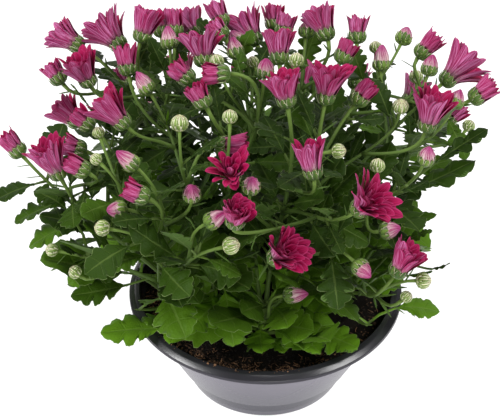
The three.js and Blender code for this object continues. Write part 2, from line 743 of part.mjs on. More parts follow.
// Adds a stem to a mesh, with its branches and leaves. It starts on its own flat end, or on the
// four corners of its base on the stem that carries it. Each branch and leaf grows out of a
// flat face: the corners of its base, at the top of that face, run into its first section.
function addStem(points, triangles, stem, corners) {
  const count = stem.sides;
  const { rings, end } = stemRings(stem);
  const first = points.length - (corners ? count : 0);
  points.push(...(corners ? rings.slice(1) : rings).flat());
  if (corners) {
    bridge(points, triangles, corners, rings[1].map((_, k) => first + count + k));
  } else {
    closeEnd(points, triangles, first, count, null, true);
  }
  const last = rings.length - 1;
  closeEnd(points, triangles, first + last * count, count, end, false);
  for (let r = corners ? 1 : 0; r < last; r += 1) {
    for (let k = 0; k < count; k += 1) {
      const a = first + r * count + k;
      const b = first + r * count + ((k + 1) % count);
      const isHere = (piece) => piece.segment === r && piece.face === k;
      const branch = stem.branches.find(isHere);
      const leaf = stem.leaves.find(isHere);
      if (branch) {
        addBranch(points, triangles, [a, b, b + count, a + count], branch.stem);
      } else if (leaf) {
        addLeaf(points, triangles, [a, b, b + count, a + count], leafShape(leaf));
      } else {
        triangles.push([a, b, a + count], [b, b + count, a + count]);
      }
    }
  }
}

// A branch on the face a, b, c, d of its stem, whose upper corners are c and d.
function addBranch(points, triangles, [a, b, c, d], stem) {
  const part = forkBaseLength / length(sub(points[d], points[a]));
  const left = mix(points[d], points[a], part);
  const right = mix(points[c], points[b], part);
  const p = points.push(mix(left, right, forkBaseInset)) - 1;
  const q = points.push(mix(right, left, forkBaseInset)) - 1;
  triangles.push([a, b, q], [a, q, p], [a, p, d], [b, c, q]);
  addStem(points, triangles, stem, [p, q, c, d]);
}

// A leaf on the face a, b, c, d of its stem: a petiole of three sides, then the blade.
function addLeaf(points, triangles, [a, b, c, d], shape) {
  const part = leafBaseLength / length(sub(points[d], points[a]));
  const high = mix(points[c], points[d], 0.5);
  const m = points.push(mix(high, mix(points[a], points[b], 0.5), part)) - 1;
  triangles.push([a, b, m], [b, c, m], [a, m, d]);
  const start = points.length;
  points.push(...shape.petiole, ...shape.left, ...shape.right, shape.tip, shape.ribTop, shape.ribUnder);
  const [under, left, right] = [start, start + 1, start + 2];
  bridge(points, triangles, [m, c, d], [under, left, right]);
  const edgePoints = shape.left.length;
  const leftEdge = shape.left.map((_, k) => start + 3 + k);
  const rightEdge = shape.right.map((_, k) => start + 3 + edgePoints + k);
  const tip = start + 3 + 2 * edgePoints;
  fan(triangles, tip + 1, [left, right, ...rightEdge, tip, ...[...leftEdge].reverse()]);
  fan(triangles, tip + 2, [right, under, left, ...leftEdge, tip, ...[...rightEdge].reverse()]);
}

// The closed solid of a stem and all that it carries.
function grown(stem) {
  const points = [];
  const triangles = [];
  addStem(points, triangles, stem, null);
  return solidFrom(points, triangles);
}

// Whether a line from one point to another goes through a triangle.
function pierces(from, to, [a, b, c]) {
  const span = sub(to, from);
  const [ab, ac] = [sub(b, a), sub(c, a)];
  const normal = cross(ab, ac);
  const slope = dot(span, normal);
  const part = dot(sub(a, from), normal) / slope;
  if (!(part >= 0 && part <= 1)) {
    return false;
  }
  const spot = sub(add(from, times(span, part)), a);
  const v = dot(cross(spot, ac), normal);
  const w = dot(cross(ab, spot), normal);
  return v >= 0 && w >= 0 && v + w <= dot(normal, normal);
}

// Whether any line of one set goes through any triangle of another.
function crossing(lines, faces) {
  return lines.some(([from, to]) => faces.some((face) => pierces(from, to, face)));
}

// The outline, faces and middle of a placed leaf, with the sphere round them.
function leafSpace(shape, root) {
  const loop = [...shape.petiole.slice(1), ...shape.right, shape.tip, ...[...shape.left].reverse()];
  const lines = loop.map((point, k) => [point, loop[(k + 1) % loop.length]]);
  lines.push([root, shape.ribTop], [shape.ribTop, shape.tip]);
  const faces = lines.slice(0, loop.length).map(([from, to]) => [from, to, shape.ribTop]);
  const between = faces.map(([from, to]) => mix(from, to, 0.5));
  const samples = [...loop, ...shape.middle, ...shape.stalk, shape.ribTop, ...between];
  const centre = mix(root, shape.tip, 0.5);
  const radius = Math.max(...samples.map((point) => length(sub(point, centre))));
  return { lines, faces, samples, centre, radius };
}

// A leaf's space if the leaf keeps clear of every head, stem, the bowl and the other leaves.
function leafRoom(leaf, ownStem, everyStem, taken) {
  const space = leafSpace(leafShape(leaf), leaf.root);
  for (const point of space.samples) {
    const radius = Math.hypot(point[0], point[1]);
    const overBowl = radius < openSoilRadius ? soilHeight(point[0], point[1]) : bowlHeight;
    if (point[2] < (radius < lipRadius + bowlToLeaf ? overBowl + bowlToLeaf : lowestLeafHeight)) {
      return null;
    }
  }
  if (intrusion(space.samples, headToLeaf, null) > 0) {
    return null;
  }
  const beyondFoot = space.samples.filter((point) => length(sub(point, leaf.root)) > stalkFoot);
  for (const stem of everyStem) {
    const carries = (one, other) => one.branches.some((branch) => branch.stem === other);
    const isKin = stem === ownStem || carries(stem, ownStem) || carries(ownStem, stem);
    const samples = isKin ? beyondFoot : space.samples;
    const spine = stem.head ? [...stem.path, headEnd(stem.head)] : stem.path;
    for (let k = 1; k < spine.length; k += 1) {
      const [from, to] = [spine[k - 1], spine[k]];
      if (distanceToSpan(space.centre, from, to) > space.radius + stemToLeaf) {
        continue;
      }
      const tooNear = samples.some((point) => distanceToSpan(point, from, to) < stemToLeaf);
      if (tooNear || crossing([[from, to]], space.faces)) {
        return null;
      }
    }
  }
  for (const other of taken) {
    if (length(sub(other.centre, space.centre)) > space.radius + other.radius) {
      continue;
    }
    const tooNear = space.samples.some((point) =>
      other.samples.some((their) => length(sub(point, their)) < leafRoomBetween),
    );
    if (tooNear || crossing(space.lines, other.faces) || crossing(other.lines, space.faces)) {
      return null;
    }
  }
  return space;
}

// Where a leaf or branch starts on one face of a stem, and the way that face looks.
function stemFace(rings, stem, segment, face) {
  const next = (face + 1) % stem.sides;
  const high = mix(rings[segment + 1][face], rings[segment + 1][next], 0.5);
  const low = mix(rings[segment][face], rings[segment][next], 0.5);
  const root = add(high, times(unit(sub(low, high)), leafBaseLength / 2));
  const core = mix(stem.path[segment], stem.path[segment + 1], 0.5);
  return { root, outward: unit(sub(mix(low, high, 0.5), core)) };
}

// The nearest free face of a cutting's stems from which a key leaf can grow, and the leaf there.
function keyLeafPlace(neck, tip, stems, everyStem, taken) {
  let best = null;
  for (const stem of stems) {
    const { rings } = stemRings(stem);
    for (let segment = 1; segment + 1 < stem.path.length; segment += 1) {
      for (let face = 0; face < stem.sides; face += 1) {
        const { root, outward } = stemFace(rings, stem, segment, face);
        const stalk = sub(neck, root);
        const away = length(stalk);
        const facing = dot(outward, unit(stalk));
        const straight = dot(unit(sub(tip, neck)), unit(stalk));
        const cost = away * (1.5 - 0.5 * facing) + 20 * (1 - straight);
        const isNear = away > shortestStalk && away < longestStalk && facing > 0.2 && straight > 0.35;
        if (!isNear || isTaken(stem, segment, face) || (best && cost > best.cost)) {
          continue;
        }
        const petiole = away / (away + length(sub(tip, neck)));
        const leaf = { segment, face, root, shoulder: neck, tip, roll: 0, petiole, skew: keyLeafSkew };
        const space = leafRoom(leaf, stem, everyStem, taken);
        if (space) {
          best = { cost, stem, leaf, space };
        }
      }
    }
  }
  return best;
}

// Grows the key leaves of a cutting, a little higher or lower where there is no room.
function growKeyLeaves(cutting, stems, everyStem, taken) {
  for (const [, neck, tip] of keyLeaves.filter(([sector]) => cutting.name === "plant_" + sector)) {
    for (const lift of keyLeafLifts) {
      const shift = (point) => [point[0], point[1], point[2] + lift];
      const best = keyLeafPlace(shift(neck), shift(tip), stems, everyStem, taken);
      if (best) {
        best.stem.leaves.push(best.leaf);
        taken.push(best.space);
        break;
      }
    }
  }
}

// Leaves stand in a spiral up every stem, large and drooping below, small and steeper above.
// Each tries the faces of its stretch of stem, from the one next in the spiral.
function growLeaves(stem, everyStem, taken, round) {
  const count = stem.sides;
  const { rings } = stemRings(stem);
  let spiral = Math.floor(draw() * count);
  for (let segment = 1; segment + 1 < stem.path.length; segment += 1) {
    const way = unit(sub(stem.path[segment + 1], stem.path[segment]));
    const middle = mix(stem.path[segment], stem.path[segment + 1], 0.5);
    const high = Math.min(1, Math.max(0, (middle[2] - bowlHeight) / (leafTopHeight - bowlHeight)));
    const size = (lowLeafLength + (highLeafLength - lowLeafLength) * high) * (0.85 + 0.3 * draw());
    const tilt = draw();
    const skew = draw() * 2 - 1;
    const spared = draw();
    spiral += 2;
    if (stem.head && stem.head.stage !== "shoot" && length(sub(middle, stem.head.foot)) < bareNeck) {
      continue;
    }
    const here = stem.leaves.filter((leaf) => leaf.segment === segment).length;
    if (here > round || spared < (round ? sparedSecond : high * sparedHighUp)) {
      continue;
    }
    for (const [turn, open, shrink] of leafTries) {
      const face = (((spiral + turn) % count) + count) % count;
      if (isTaken(stem, segment, face)) {
        continue;
      }
      const { root, outward } = stemFace(rings, stem, segment, face);
      const pitch = radians(open - 14 * high + 8 * tilt);
      const reach = add(times(way, Math.cos(pitch)), times(outward, Math.sin(pitch)));
      const long = size * shrink;
      const droop = (lowDroop + (highDroop - lowDroop) * high) * long;
      const leaf = {
        segment,
        face,
        root,
        shoulder: add(root, add(times(reach, long * 0.5), [0, 0, droop * 0.3])),
        tip: sub(add(root, times(reach, long)), [0, 0, droop]),
        roll: (tilt - 0.5) * 0.5,
        petiole: petioleShare,
        skew,
      };
      const space = leafRoom(leaf, stem, everyStem, taken);
      if (space) {
        taken.push(space);
        stem.leaves.push(leaf);
        break;
      }
    }
  }
}

// Ways to find a leaf its room: faces round the stem, an opening from it, and a shrink.
const leafTries = [];
for (const shrink of [1, 0.85]) {
  for (const open of [64, 82, 46]) {
    for (const turn of [0, 1, -1, 2, -2]) {
      leafTries.push([turn, open, shrink]);
    }
  }
}

// The cuttings, each with its main stem, branches, calyxes, buds and leaves as one list of stems.
function growCuttings() {
  const stems = cuttings.map((cutting) => growStems(cutting));
  const everyStem = stems.flat();
  const taken = [];
  cuttings.forEach((cutting, k) => growKeyLeaves(cutting, stems[k], everyStem, taken));
  for (const round of [0, 1]) {
    everyStem.forEach((stem) => growLeaves(stem, everyStem, taken, round));
  }
  return stems;
}

// A bloom on its calyx. Strap petals part from a low cup, each with a raised back and a hollow
// front. An open bloom has a second ring of shorter petals inside; a half-open one is furled
// round a cone of petals that have not parted yet.
function makeBloom(head) {
  const axis = head.way;
  const side = levelSide(axis);
  const across = cross(axis, side);
  const origin = add(head.foot, times(axis, calyxHeight + gap));
  const isOpen = head.stage === "open";
  const count = isOpen ? openPetals : halfPetals;
  const sector = (2 * Math.PI) / count;
  const start = draw() * sector;
  const at = (angle, radius, rise) => {
    const outward = add(times(side, Math.cos(angle)), times(across, Math.sin(angle)));
    return add(origin, add(times(outward, radius), times(axis, rise)));
  };
  const points = [];
  const triangles = [];
  const put = (point) => points.push(point) - 1;
  // one ring of petals: valleys, and a rim of two broad points and a tip for each petal
  const petalRing = (turn, { root, low }, reach, spread, widest) => {
    const valleys = [];
    const petals = [];
    for (let k = 0; k < count; k += 1) {
      valleys.push(put(at(start + (turn + k) * sector, root, low)));
    }
    for (let k = 0; k < count; k += 1) {
      const centre = start + (turn + k + 0.5) * sector;
      const long = reach * (0.88 + 0.24 * draw());
      const open = radians(spread * (0.85 + 0.3 * draw()));
      const radiusAt = (part) => root + long * part * Math.sin(open) + 1.6 * Math.sin(Math.PI * part);
      const riseAt = (part) => low + (long - low) * part * Math.cos(open);
      const half = Math.min(sector * 0.47, widest / radiusAt(0.74));
      petals.push({
        left: put(at(centre - half, radiusAt(0.74), riseAt(0.74))),
        right: put(at(centre + half, radiusAt(0.74), riseAt(0.74))),
        tip: put(at(centre, radiusAt(1), riseAt(1))),
        back: put(at(centre, radiusAt(0.5) + petalThickness / 2, riseAt(0.5))),
        front: put(at(centre, radiusAt(0.5) - petalThickness / 2, riseAt(0.5))),
      });
    }
    return { valleys, petals };
  };
  const petal = head.reach - calyxHeight - gap;
  const outer = petalRing(0, outerRing, petal, head.spread, petalHalfWidth);
  const seat = put(origin);
  const heart = put(at(0, 0, isOpen ? 4 : petal * 0.86));
  const floorPoint = (_, k) => put(at(start + (k + 0.5) * sector, innerRing.root, 2.4));
  const floor = isOpen ? outer.petals.map(floorPoint) : null;
  const { share, spread, width } = innerRing;
  const inner = isOpen
    ? petalRing(0.5, innerRing, petal * share, head.spread * spread, petalHalfWidth * width)
    : null;
  for (let k = 0; k < count; k += 1) {
    const next = (k + 1) % count;
    const { left, right, tip, back, front } = outer.petals[k];
    const [from, to] = [outer.valleys[k], outer.valleys[next]];
    triangles.push([seat, to, from]);
    fan(triangles, back, [to, right, tip, left, from]);
    fan(triangles, front, [from, left, tip, right, to, isOpen ? floor[k] : heart]);
    if (isOpen) {
      const petalIn = inner.petals[k];
      const [fromIn, toIn] = [inner.valleys[k], inner.valleys[next]];
      triangles.push([floor[k], to, floor[next]]);
      const rimIn = [petalIn.right, petalIn.tip, petalIn.left];
      fan(triangles, petalIn.back, [floor[k], floor[next], toIn, ...rimIn, fromIn]);
      fan(triangles, petalIn.front, [fromIn, ...rimIn.reverse(), toIn, heart]);
    }
  }
  return solidFrom(points, triangles);
}

function meshOf(name, solid, colour, roughness) {
  const { vertProperties, triVerts } = solid.getMesh();
  const geometry = new THREE.BufferGeometry();
  geometry.setAttribute("position", new THREE.BufferAttribute(new Float32Array(vertProperties), 3));
  geometry.setIndex(new THREE.BufferAttribute(new Uint32Array(triVerts), 1));
  geometry.computeVertexNormals();
  const material = new THREE.MeshStandardMaterial({ color: colour, roughness, metalness: 0 });
  const mesh = new THREE.Mesh(geometry, material);
  mesh.name = name;
  return mesh;
}

const potChrysanthemum = new THREE.Group();
potChrysanthemum.add(meshOf("bowl", makeBowl(), 0x8f8c96, 0.45));
potChrysanthemum.add(meshOf("soil", makeSoil(), 0x2a1d14, 0.95));

growCuttings().forEach(([main], k) => {
  potChrysanthemum.add(meshOf(cuttings[k].name, grown(main), 0x46651f, 0.7));
});

flowerHeads
  .filter((head) => head.stage === "open" || head.stage === "half")
  .forEach((head, k) => {
    const name = "bloom_" + String(k + 1).padStart(2, "0");
    potChrysanthemum.add(meshOf(name, makeBloom(head), 0xb8457f, 0.6));
  });

export default potChrysanthemum;
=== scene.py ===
import math

import bpy
import numpy as np
from mathutils.kdtree import KDTree
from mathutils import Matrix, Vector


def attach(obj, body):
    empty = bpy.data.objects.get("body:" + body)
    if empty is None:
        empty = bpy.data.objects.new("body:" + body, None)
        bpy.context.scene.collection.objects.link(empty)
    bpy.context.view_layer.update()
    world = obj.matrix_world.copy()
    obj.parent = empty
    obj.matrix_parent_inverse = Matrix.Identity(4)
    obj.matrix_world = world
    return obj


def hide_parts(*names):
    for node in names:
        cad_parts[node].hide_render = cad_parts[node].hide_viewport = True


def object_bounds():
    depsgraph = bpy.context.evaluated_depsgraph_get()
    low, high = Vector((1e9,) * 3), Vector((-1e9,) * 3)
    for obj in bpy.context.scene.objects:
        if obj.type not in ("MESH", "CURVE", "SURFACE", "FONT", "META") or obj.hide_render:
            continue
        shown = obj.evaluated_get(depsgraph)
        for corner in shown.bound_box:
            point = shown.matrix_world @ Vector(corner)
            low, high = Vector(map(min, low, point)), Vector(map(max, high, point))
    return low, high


# A pot chrysanthemum in its grower's bowl. The layout is worked out in millimetres, as the frame was
# drawn, and every mesh is put down in metres.
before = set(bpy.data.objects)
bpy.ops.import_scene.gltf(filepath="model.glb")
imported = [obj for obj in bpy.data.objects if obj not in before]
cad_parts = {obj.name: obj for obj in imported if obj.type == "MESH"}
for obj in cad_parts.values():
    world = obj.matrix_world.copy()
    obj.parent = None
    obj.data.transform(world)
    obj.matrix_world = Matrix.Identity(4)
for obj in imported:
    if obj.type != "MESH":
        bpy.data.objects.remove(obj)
cadBox = [[float(x) for x in corner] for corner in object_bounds()]
millimetre = 0.001
sceneValues = {  # the camera's place in metres, its turns in degrees, its lens and sensor in millimetres
    "camera": (0.0, -1.1401, 1.0598), "pitch": 37.91, "yaw": 0.656, "lens": 127.54, "sensor": 36,
}
print("frame loaded")

cuttings = {  # where each rooted cutting stands in the soil
    "right": (60, -20),
    "back_right": (41, 44),
    "back_left": (-32, 51),
    "front_left": (-73, -33),
    "front": (-3, -64),
}

shoots = [  # leafy side shoots without a flower: cutting, tip, lean outward
    ("front_left", -104, -58, 112, 62),
    ("front_left", -64, -78, 106, 62),
    ("front_left", -124, -14, 122, 62),
    ("front_left", -56, 4, 176, 15),
    ("front_left", -92, -30, 178, 35),
    ("front_left", -34, -60, 150, 25),
    ("front", -14, -98, 104, 62),
    ("front", 34, -84, 108, 62),
    ("front", -8, -52, 166, 15),
    ("front", 28, -68, 160, 30),
    ("right", 104, -42, 116, 62),
    ("right", 84, -70, 108, 62),
    ("right", 112, 0, 124, 62),
    ("right", 66, -6, 178, 20),
    ("right", 88, -44, 168, 35),
    ("back_right", 92, 62, 116, 62),
    ("back_right", 52, 92, 112, 62),
    ("back_right", 14, 104, 118, 62),
    ("back_right", 44, 22, 176, 15),
    ("back_right", 20, 60, 160, 15),
    ("back_right", 74, 50, 196, 30),
    ("back_left", -16, 104, 112, 62),
    ("back_left", -62, 92, 114, 62),
    ("back_left", -96, 62, 122, 62),
    ("back_left", -54, 58, 196, 25),
    ("back_left", -22, 78, 160, 20),
]

keyLeaves = [  # single large leaves: cutting, neck, tip
    ("front_left", (-150, -10, 176), (-188, -4, 186)),
    ("front_left", (-144, -22, 170), (-182, -22, 180)),
    ("front_left", (-120, -60, 182), (-140, -76, 216)),
    ("front_left", (-118, -50, 146), (-178, -60, 172)),
    ("front_left", (-112, -62, 142), (-156, -66, 138)),
    ("front_left", (-86, -58, 104), (-134, -66, 102)),
    ("front_left", (-62, -66, 104), (-76, -96, 100)),
    ("front_left", (-36, -64, 106), (-68, -94, 106)),
    ("front", (-6, -78, 92), (-2, -106, 96)),
    ("front", (18, -70, 98), (44, -108, 98)),
    ("front", (40, -66, 102), (74, -94, 104)),
    ("right", (106, -44, 114), (142, -54, 108)),
    ("right", (124, -86, 170), (142, -88, 188)),
    ("right", (134, 8, 214), (176, 12, 244)),
    ("right", (118, -6, 194), (168, 8, 216)),
    ("right", (102, -28, 176), (136, -30, 190)),
    ("right", (96, -58, 186), (130, -58, 196)),
    ("right", (106, -76, 168), (130, -80, 182)),
    ("back_left", (-84, 70, 258), (-96, 80, 284)),
    ("back_left", (-140, 56, 232), (-160, 62, 256)),
    ("back_right", (56, 76, 266), (66, 84, 284)),
]

heads = [  # cutting, stage, foot of the calyx, lean, bearing, length, spread of the outer petals
    ("right", "open", 44, -20, 288, 25, 70, 35, 34),
    ("right", "bud", 104, 0, 268, 5, 330, 12, 0),
    ("right", "open", 124, -10, 256, 20, 50, 36, 22),
    ("right", "half", 68, -5, 278, 45, 30, 23, 6),
    ("right", "bud", 50, -45, 262, 80, 355, 11, 0),
    ("right", "bud", 84, -55, 250, 40, 75, 11, 0),
    ("right", "tip", 122, -35, 244, 15, 345, 17, 0),
    ("right", "tip", 88, -70, 204, 70, 350, 17, 0),
    ("right", "open", 98, -100, 184, 35, 25, 30, 22),
    ("right", "bud", 116, -95, 176, 90, 0, 12, 0),
    ("right", "bud", 106, -100, 160, 60, 30, 9, 0),
    ("back_right", "half", 6, 130, 260, 40, 95, 23, 10),
    ("back_right", "half", 12, 95, 276, 35, 65, 20, 6),
    ("back_right", "open", 10, 35, 288, 40, 95, 29, 22),
    ("back_right", "bud", 22, 15, 300, 40, 75, 11, 0),
    ("back_right", "tip", 32, 100, 272, 40, 80, 15, 0),
    ("back_right", "open", 50, 90, 276, 45, 115, 30, 22),
    ("back_right", "half", 74, 95, 270, 40, 90, 24, 8),
    ("back_right", "bud", 90, 100, 258, 40, 90, 10, 0),
    ("back_right", "tip", 92, 60, 266, 40, 85, 22, 0),
    ("back_right", "tip", 110, 95, 270, 55, 60, 16, 0),
    ("back_right", "half", 124, 90, 260, 55, 35, 27, 12),
    ("back_right", "tip", 130, 60, 262, 35, 65, 18, 0),
    ("back_right", "bud", 124, 81, 241, 40, 100, 11, 0),
    ("back_right", "open", 144, 75, 244, 65, 35, 40, 38),
    ("back_right", "half", 166, 60, 238, 65, 20, 26, 8),
    ("back_right", "tip", 150, 40, 244, 45, 55, 17, 0),
    ("back_right", "half", 58, 50, 280, 45, 50, 20, 8),
    ("back_right", "bud", 164, 52, 214, 60, 50, 10, 0),
    ("back_left", "open", -153, 104, 258, 65, 160, 30, 24),
    ("back_left", "open", -119, 95, 263, 62, 136, 36, 34),
    ("back_left", "open", -104, 85, 276, 34, 60, 30, 16),
    ("back_left", "half", -112, 60, 260, 35, 105, 26, 10),
    ("back_left", "open", -144, 65, 246, 25, 160, 32, 22),
    ("back_left", "half", -168, 72, 244, 45, 145, 21, 6),
    ("back_left", "half", -88, 115, 262, 40, 90, 24, 8),
    ("back_left", "half", -76, 90, 278, 40, 95, 24, 8),
    ("back_left", "open", -57, 106, 267, 50, 130, 28, 30),
    ("back_left", "tip", -78, 60, 286, 30, 100, 19, 0),
    ("back_left", "half", -36, 110, 276, 45, 125, 24, 8),
    ("back_left", "open", -50, 40, 282, 40, 100, 30, 32),
    ("back_left", "half", -34, 75, 286, 45, 150, 19, 5),
    ("back_left", "bud", -38, 25, 292, 40, 115, 11, 0),
    ("back_left", "tip", -24, 50, 284, 40, 110, 18, 0),
    ("back_left", "tip", -22, 80, 276, 40, 140, 15, 0),
    ("back_left", "open", -8, 110, 258, 55, 125, 34, 28),
    ("back_left", "bud", -10, 66, 266, 40, 120, 9, 0),
    ("back_left", "tip", -2, 15, 290, 10, 50, 16, 0),
    ("front_left", "tip", -92, 20, 270, 40, 145, 21, 0),
    ("front_left", "open", -108, -15, 262, 45, 160, 35, 24),
    ("front_left", "half", -138, 12, 242, 55, 160, 21, 6),
    ("front_left", "bud", -130, -15, 252, 40, 120, 9, 0),
    ("front_left", "half", -58, 15, 284, 55, 155, 23, 8),
    ("front_left", "half", -28, -5, 306, 90, 180, 22, 8),
    ("front_left", "half", -46, -25, 288, 35, 145, 21, 8),
    ("front_left", "bud", -66, -45, 280, 30, 90, 13, 0),
    ("front_left", "bud", -28, -40, 284, 40, 90, 11, 0),
    ("front_left", "half", -40, -37, 261, 85, 355, 26, 6),
    ("front_left", "half", -198, 20, 208, 50, 150, 25, 5),
    ("front_left", "open", -161, -29, 222, 25, 160, 36, 21),
    ("front_left", "half", -144, 5, 224, 70, 175, 20, 8),
    ("front_left", "bud", -127, -52, 255, 60, 150, 9, 0),
    ("front_left", "tip", -98, -60, 256, 50, 165, 21, 0),
    ("front_left", "half", -88, -85, 246, 65, 175, 21, 6),
    ("front_left", "tip", -106, -75, 228, 80, 195, 16, 0),
    ("front_left", "bud", -118, -94, 224, 85, 175, 12, 0),
    ("front_left", "bud", -164, -60, 174, 80, 175, 10, 0),
    ("front_left", "open", -26, -85, 264, 20, 270, 28, 55),
    ("front_left", "tip", -56, -85, 246, 15, 280, 17, 0),
    ("front_left", "tip", -46, -95, 230, 60, 5, 20, 0),
    ("front_left", "bud", -32, -110, 220, 75, 0, 13, 0),
    ("front_left", "bud", -144, -90, 174, 60, 155, 10, 0),
    ("front_left", "half", -138, -35, 232, 60, 170, 22, 8),
    ("front", "open", 16, -30, 292, 20, 125, 30, 22),
    ("front", "tip", -12, -75, 246, 15, 300, 16, 0),
    ("front", "open", -24, -115, 244, 15, 325, 24, 24),
    ("front", "open", 36, -75, 258, 20, 120, 31, 12),
    ("front", "open", 4, -105, 204, 45, 330, 32, 38),
    ("front", "open", 66, -92, 240, 40, 340, 34, 42),
    ("front", "tip", 14, -88, 154, 80, 355, 20, 0),
    ("front", "tip", 68, -105, 202, 100, 310, 18, 0),
    ("back_left", "half", -120, 125, 200, 60, 130, 24, 8),
    ("back_left", "open", -70, 150, 192, 60, 115, 30, 28),
    ("back_left", "half", -22, 155, 184, 55, 95, 24, 8),
    ("back_right", "open", 30, 160, 172, 65, 80, 30, 24),
    ("back_right", "half", 76, 150, 188, 60, 65, 24, 8),
    ("back_right", "open", 120, 128, 184, 60, 50, 30, 30),
    ("back_right", "half", 150, 92, 192, 60, 30, 24, 8),
    ("back_left", "open", -158, 92, 188, 60, 150, 30, 26),
    ("back_left", "tip", -96, 148, 164, 60, 120, 18, 0),
    ("back_right", "bud", 56, 165, 158, 60, 70, 11, 0),
    ("back_left", "bud", -42, 168, 152, 60, 105, 11, 0),
    ("back_right", "bud", 140, 116, 162, 60, 45, 11, 0),
]


def unit(a):
    # each vector of an array over its own length
    return a / np.sqrt((a * a).sum(-1, keepdims=True))


def lengthOf(a):
    # the root of the sum of one vector's squares
    return float(np.sqrt((a * a).sum()))


def leaning(lean, bearing):
    # a direction that leans from upright by lean towards the bearing, both in degrees
    a, b = math.radians(lean), math.radians(bearing)
    return np.array([math.sin(a) * math.cos(b), math.sin(a) * math.sin(b), math.cos(a)])


def levelSide(axis):
    # the unit vector square to the axis that is as level as it can be
    return unit(np.cross(axis, [1.0, 0, 0] if abs(axis[2]) > 0.95 else [0, 0, 1.0]))


def curve(start, startWay, end, endWay, slack, steps):
    # cubic Bezier points; each handle is slack times the straight distance along its own direction
    reach = lengthOf(end - start) * slack
    t = np.linspace(0, 1, steps + 1)[:, None]
    s = 1 - t
    a, b = start + startWay * reach, end - endWay * reach
    return s**3 * start + 3 * s * s * t * a + 3 * s * t * t * b + t**3 * end


def sections(centres, radii, sides):
    # round sections square to a path, each side vector carried on from the last, so without a twist
    steps = [centres[1:2] - centres[:1], centres[2:] - centres[:-2], centres[-1:] - centres[-2:-1]]
    tangents = unit(np.concatenate(steps))
    side = levelSide(tangents[0])
    angles = np.arange(sides) * 2 * math.pi / sides
    rings = []
    for centre, tangent, radius in zip(centres, tangents, radii):
        side = unit(side - tangent * side.dot(tangent))
        across = np.cross(tangent, side)
        rings.append(centre + radius * (np.cos(angles)[:, None] * side + np.sin(angles)[:, None] * across))
    return np.array(rings)


# The stems and leaves of the frame are worked out again, so that finer ones can take their places.
stemValues = {
    "rootDepth": 34, "collar": 8, "radius": 3.8, "taper": 0.15, "pinchHeight": 122, "leanRise": 170, "stub": 9,
    "branchRadius": 2.6, "peduncleRadius": 1.9, "step": 23, "forkAngle": 48, "forkBase": 5, "leafBase": 4.5,
    "slacks": [0.38, 0.3, 0.46, 0.24, 0.54], "mainForks": [0.2, 0.4, 0.6, 0.8, 1], "shootPoint": 6,
    "mainSides": 6, "branchSides": 4,
}
soilValues = {"edgeHeight": 78, "mound": 4, "roughness": 1.4}
matchWithin = 0.03  # a worked-out corner is the frame's own if one lies this near, in millimetres


def soilHeight(x, y):
    # a low mound with two crossed ripples
    ripple = np.sin(x * 0.31 + 1.7) * np.cos(y * 0.27 - 0.6) + 0.6 * np.sin(x * 0.13 - y * 0.19)
    mound = soilValues["mound"] * (1 - (x * x + y * y) / 1e4)
    return soilValues["edgeHeight"] + mound + soilValues["roughness"] * ripple * 0.7


def cornersOf(node):
    # every corner of a node of the frame, to be searched by place
    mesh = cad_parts[node].data
    places = np.empty(len(mesh.vertices) * 3, np.float32)
    mesh.vertices.foreach_get("co", places)
    places = np.unique(places.reshape(-1, 3).round(7), axis=0) / millimetre
    tree = KDTree(len(places))
    for k, place in enumerate(places):
        tree.insert(place, k)
    tree.balance()
    return tree


def headOf(row):
    # a row of the list of heads as a dictionary
    cutting, stage, x, y, z, lean, bearing, reach, spread = row
    return {"cutting": cutting, "stage": stage, "foot": np.array([x, y, z], float),
            "way": leaning(lean, bearing), "reach": reach, "spread": spread}


def shootOf(row):
    # a side shoot is a head without a flower, and leans away from the bowl's middle
    cutting, x, y, z, lean = row
    bearing = math.degrees(math.atan2(y, x))
    return headOf((cutting, "shoot", x, y, z, lean, bearing, stemValues["shootPoint"], 0))


def stemOf(path, radii, sides, head, course=None):
    rings = sections(path, radii, sides)
    return {"path": path, "radii": radii, "sides": sides, "head": head, "rings": rings, "course": course}


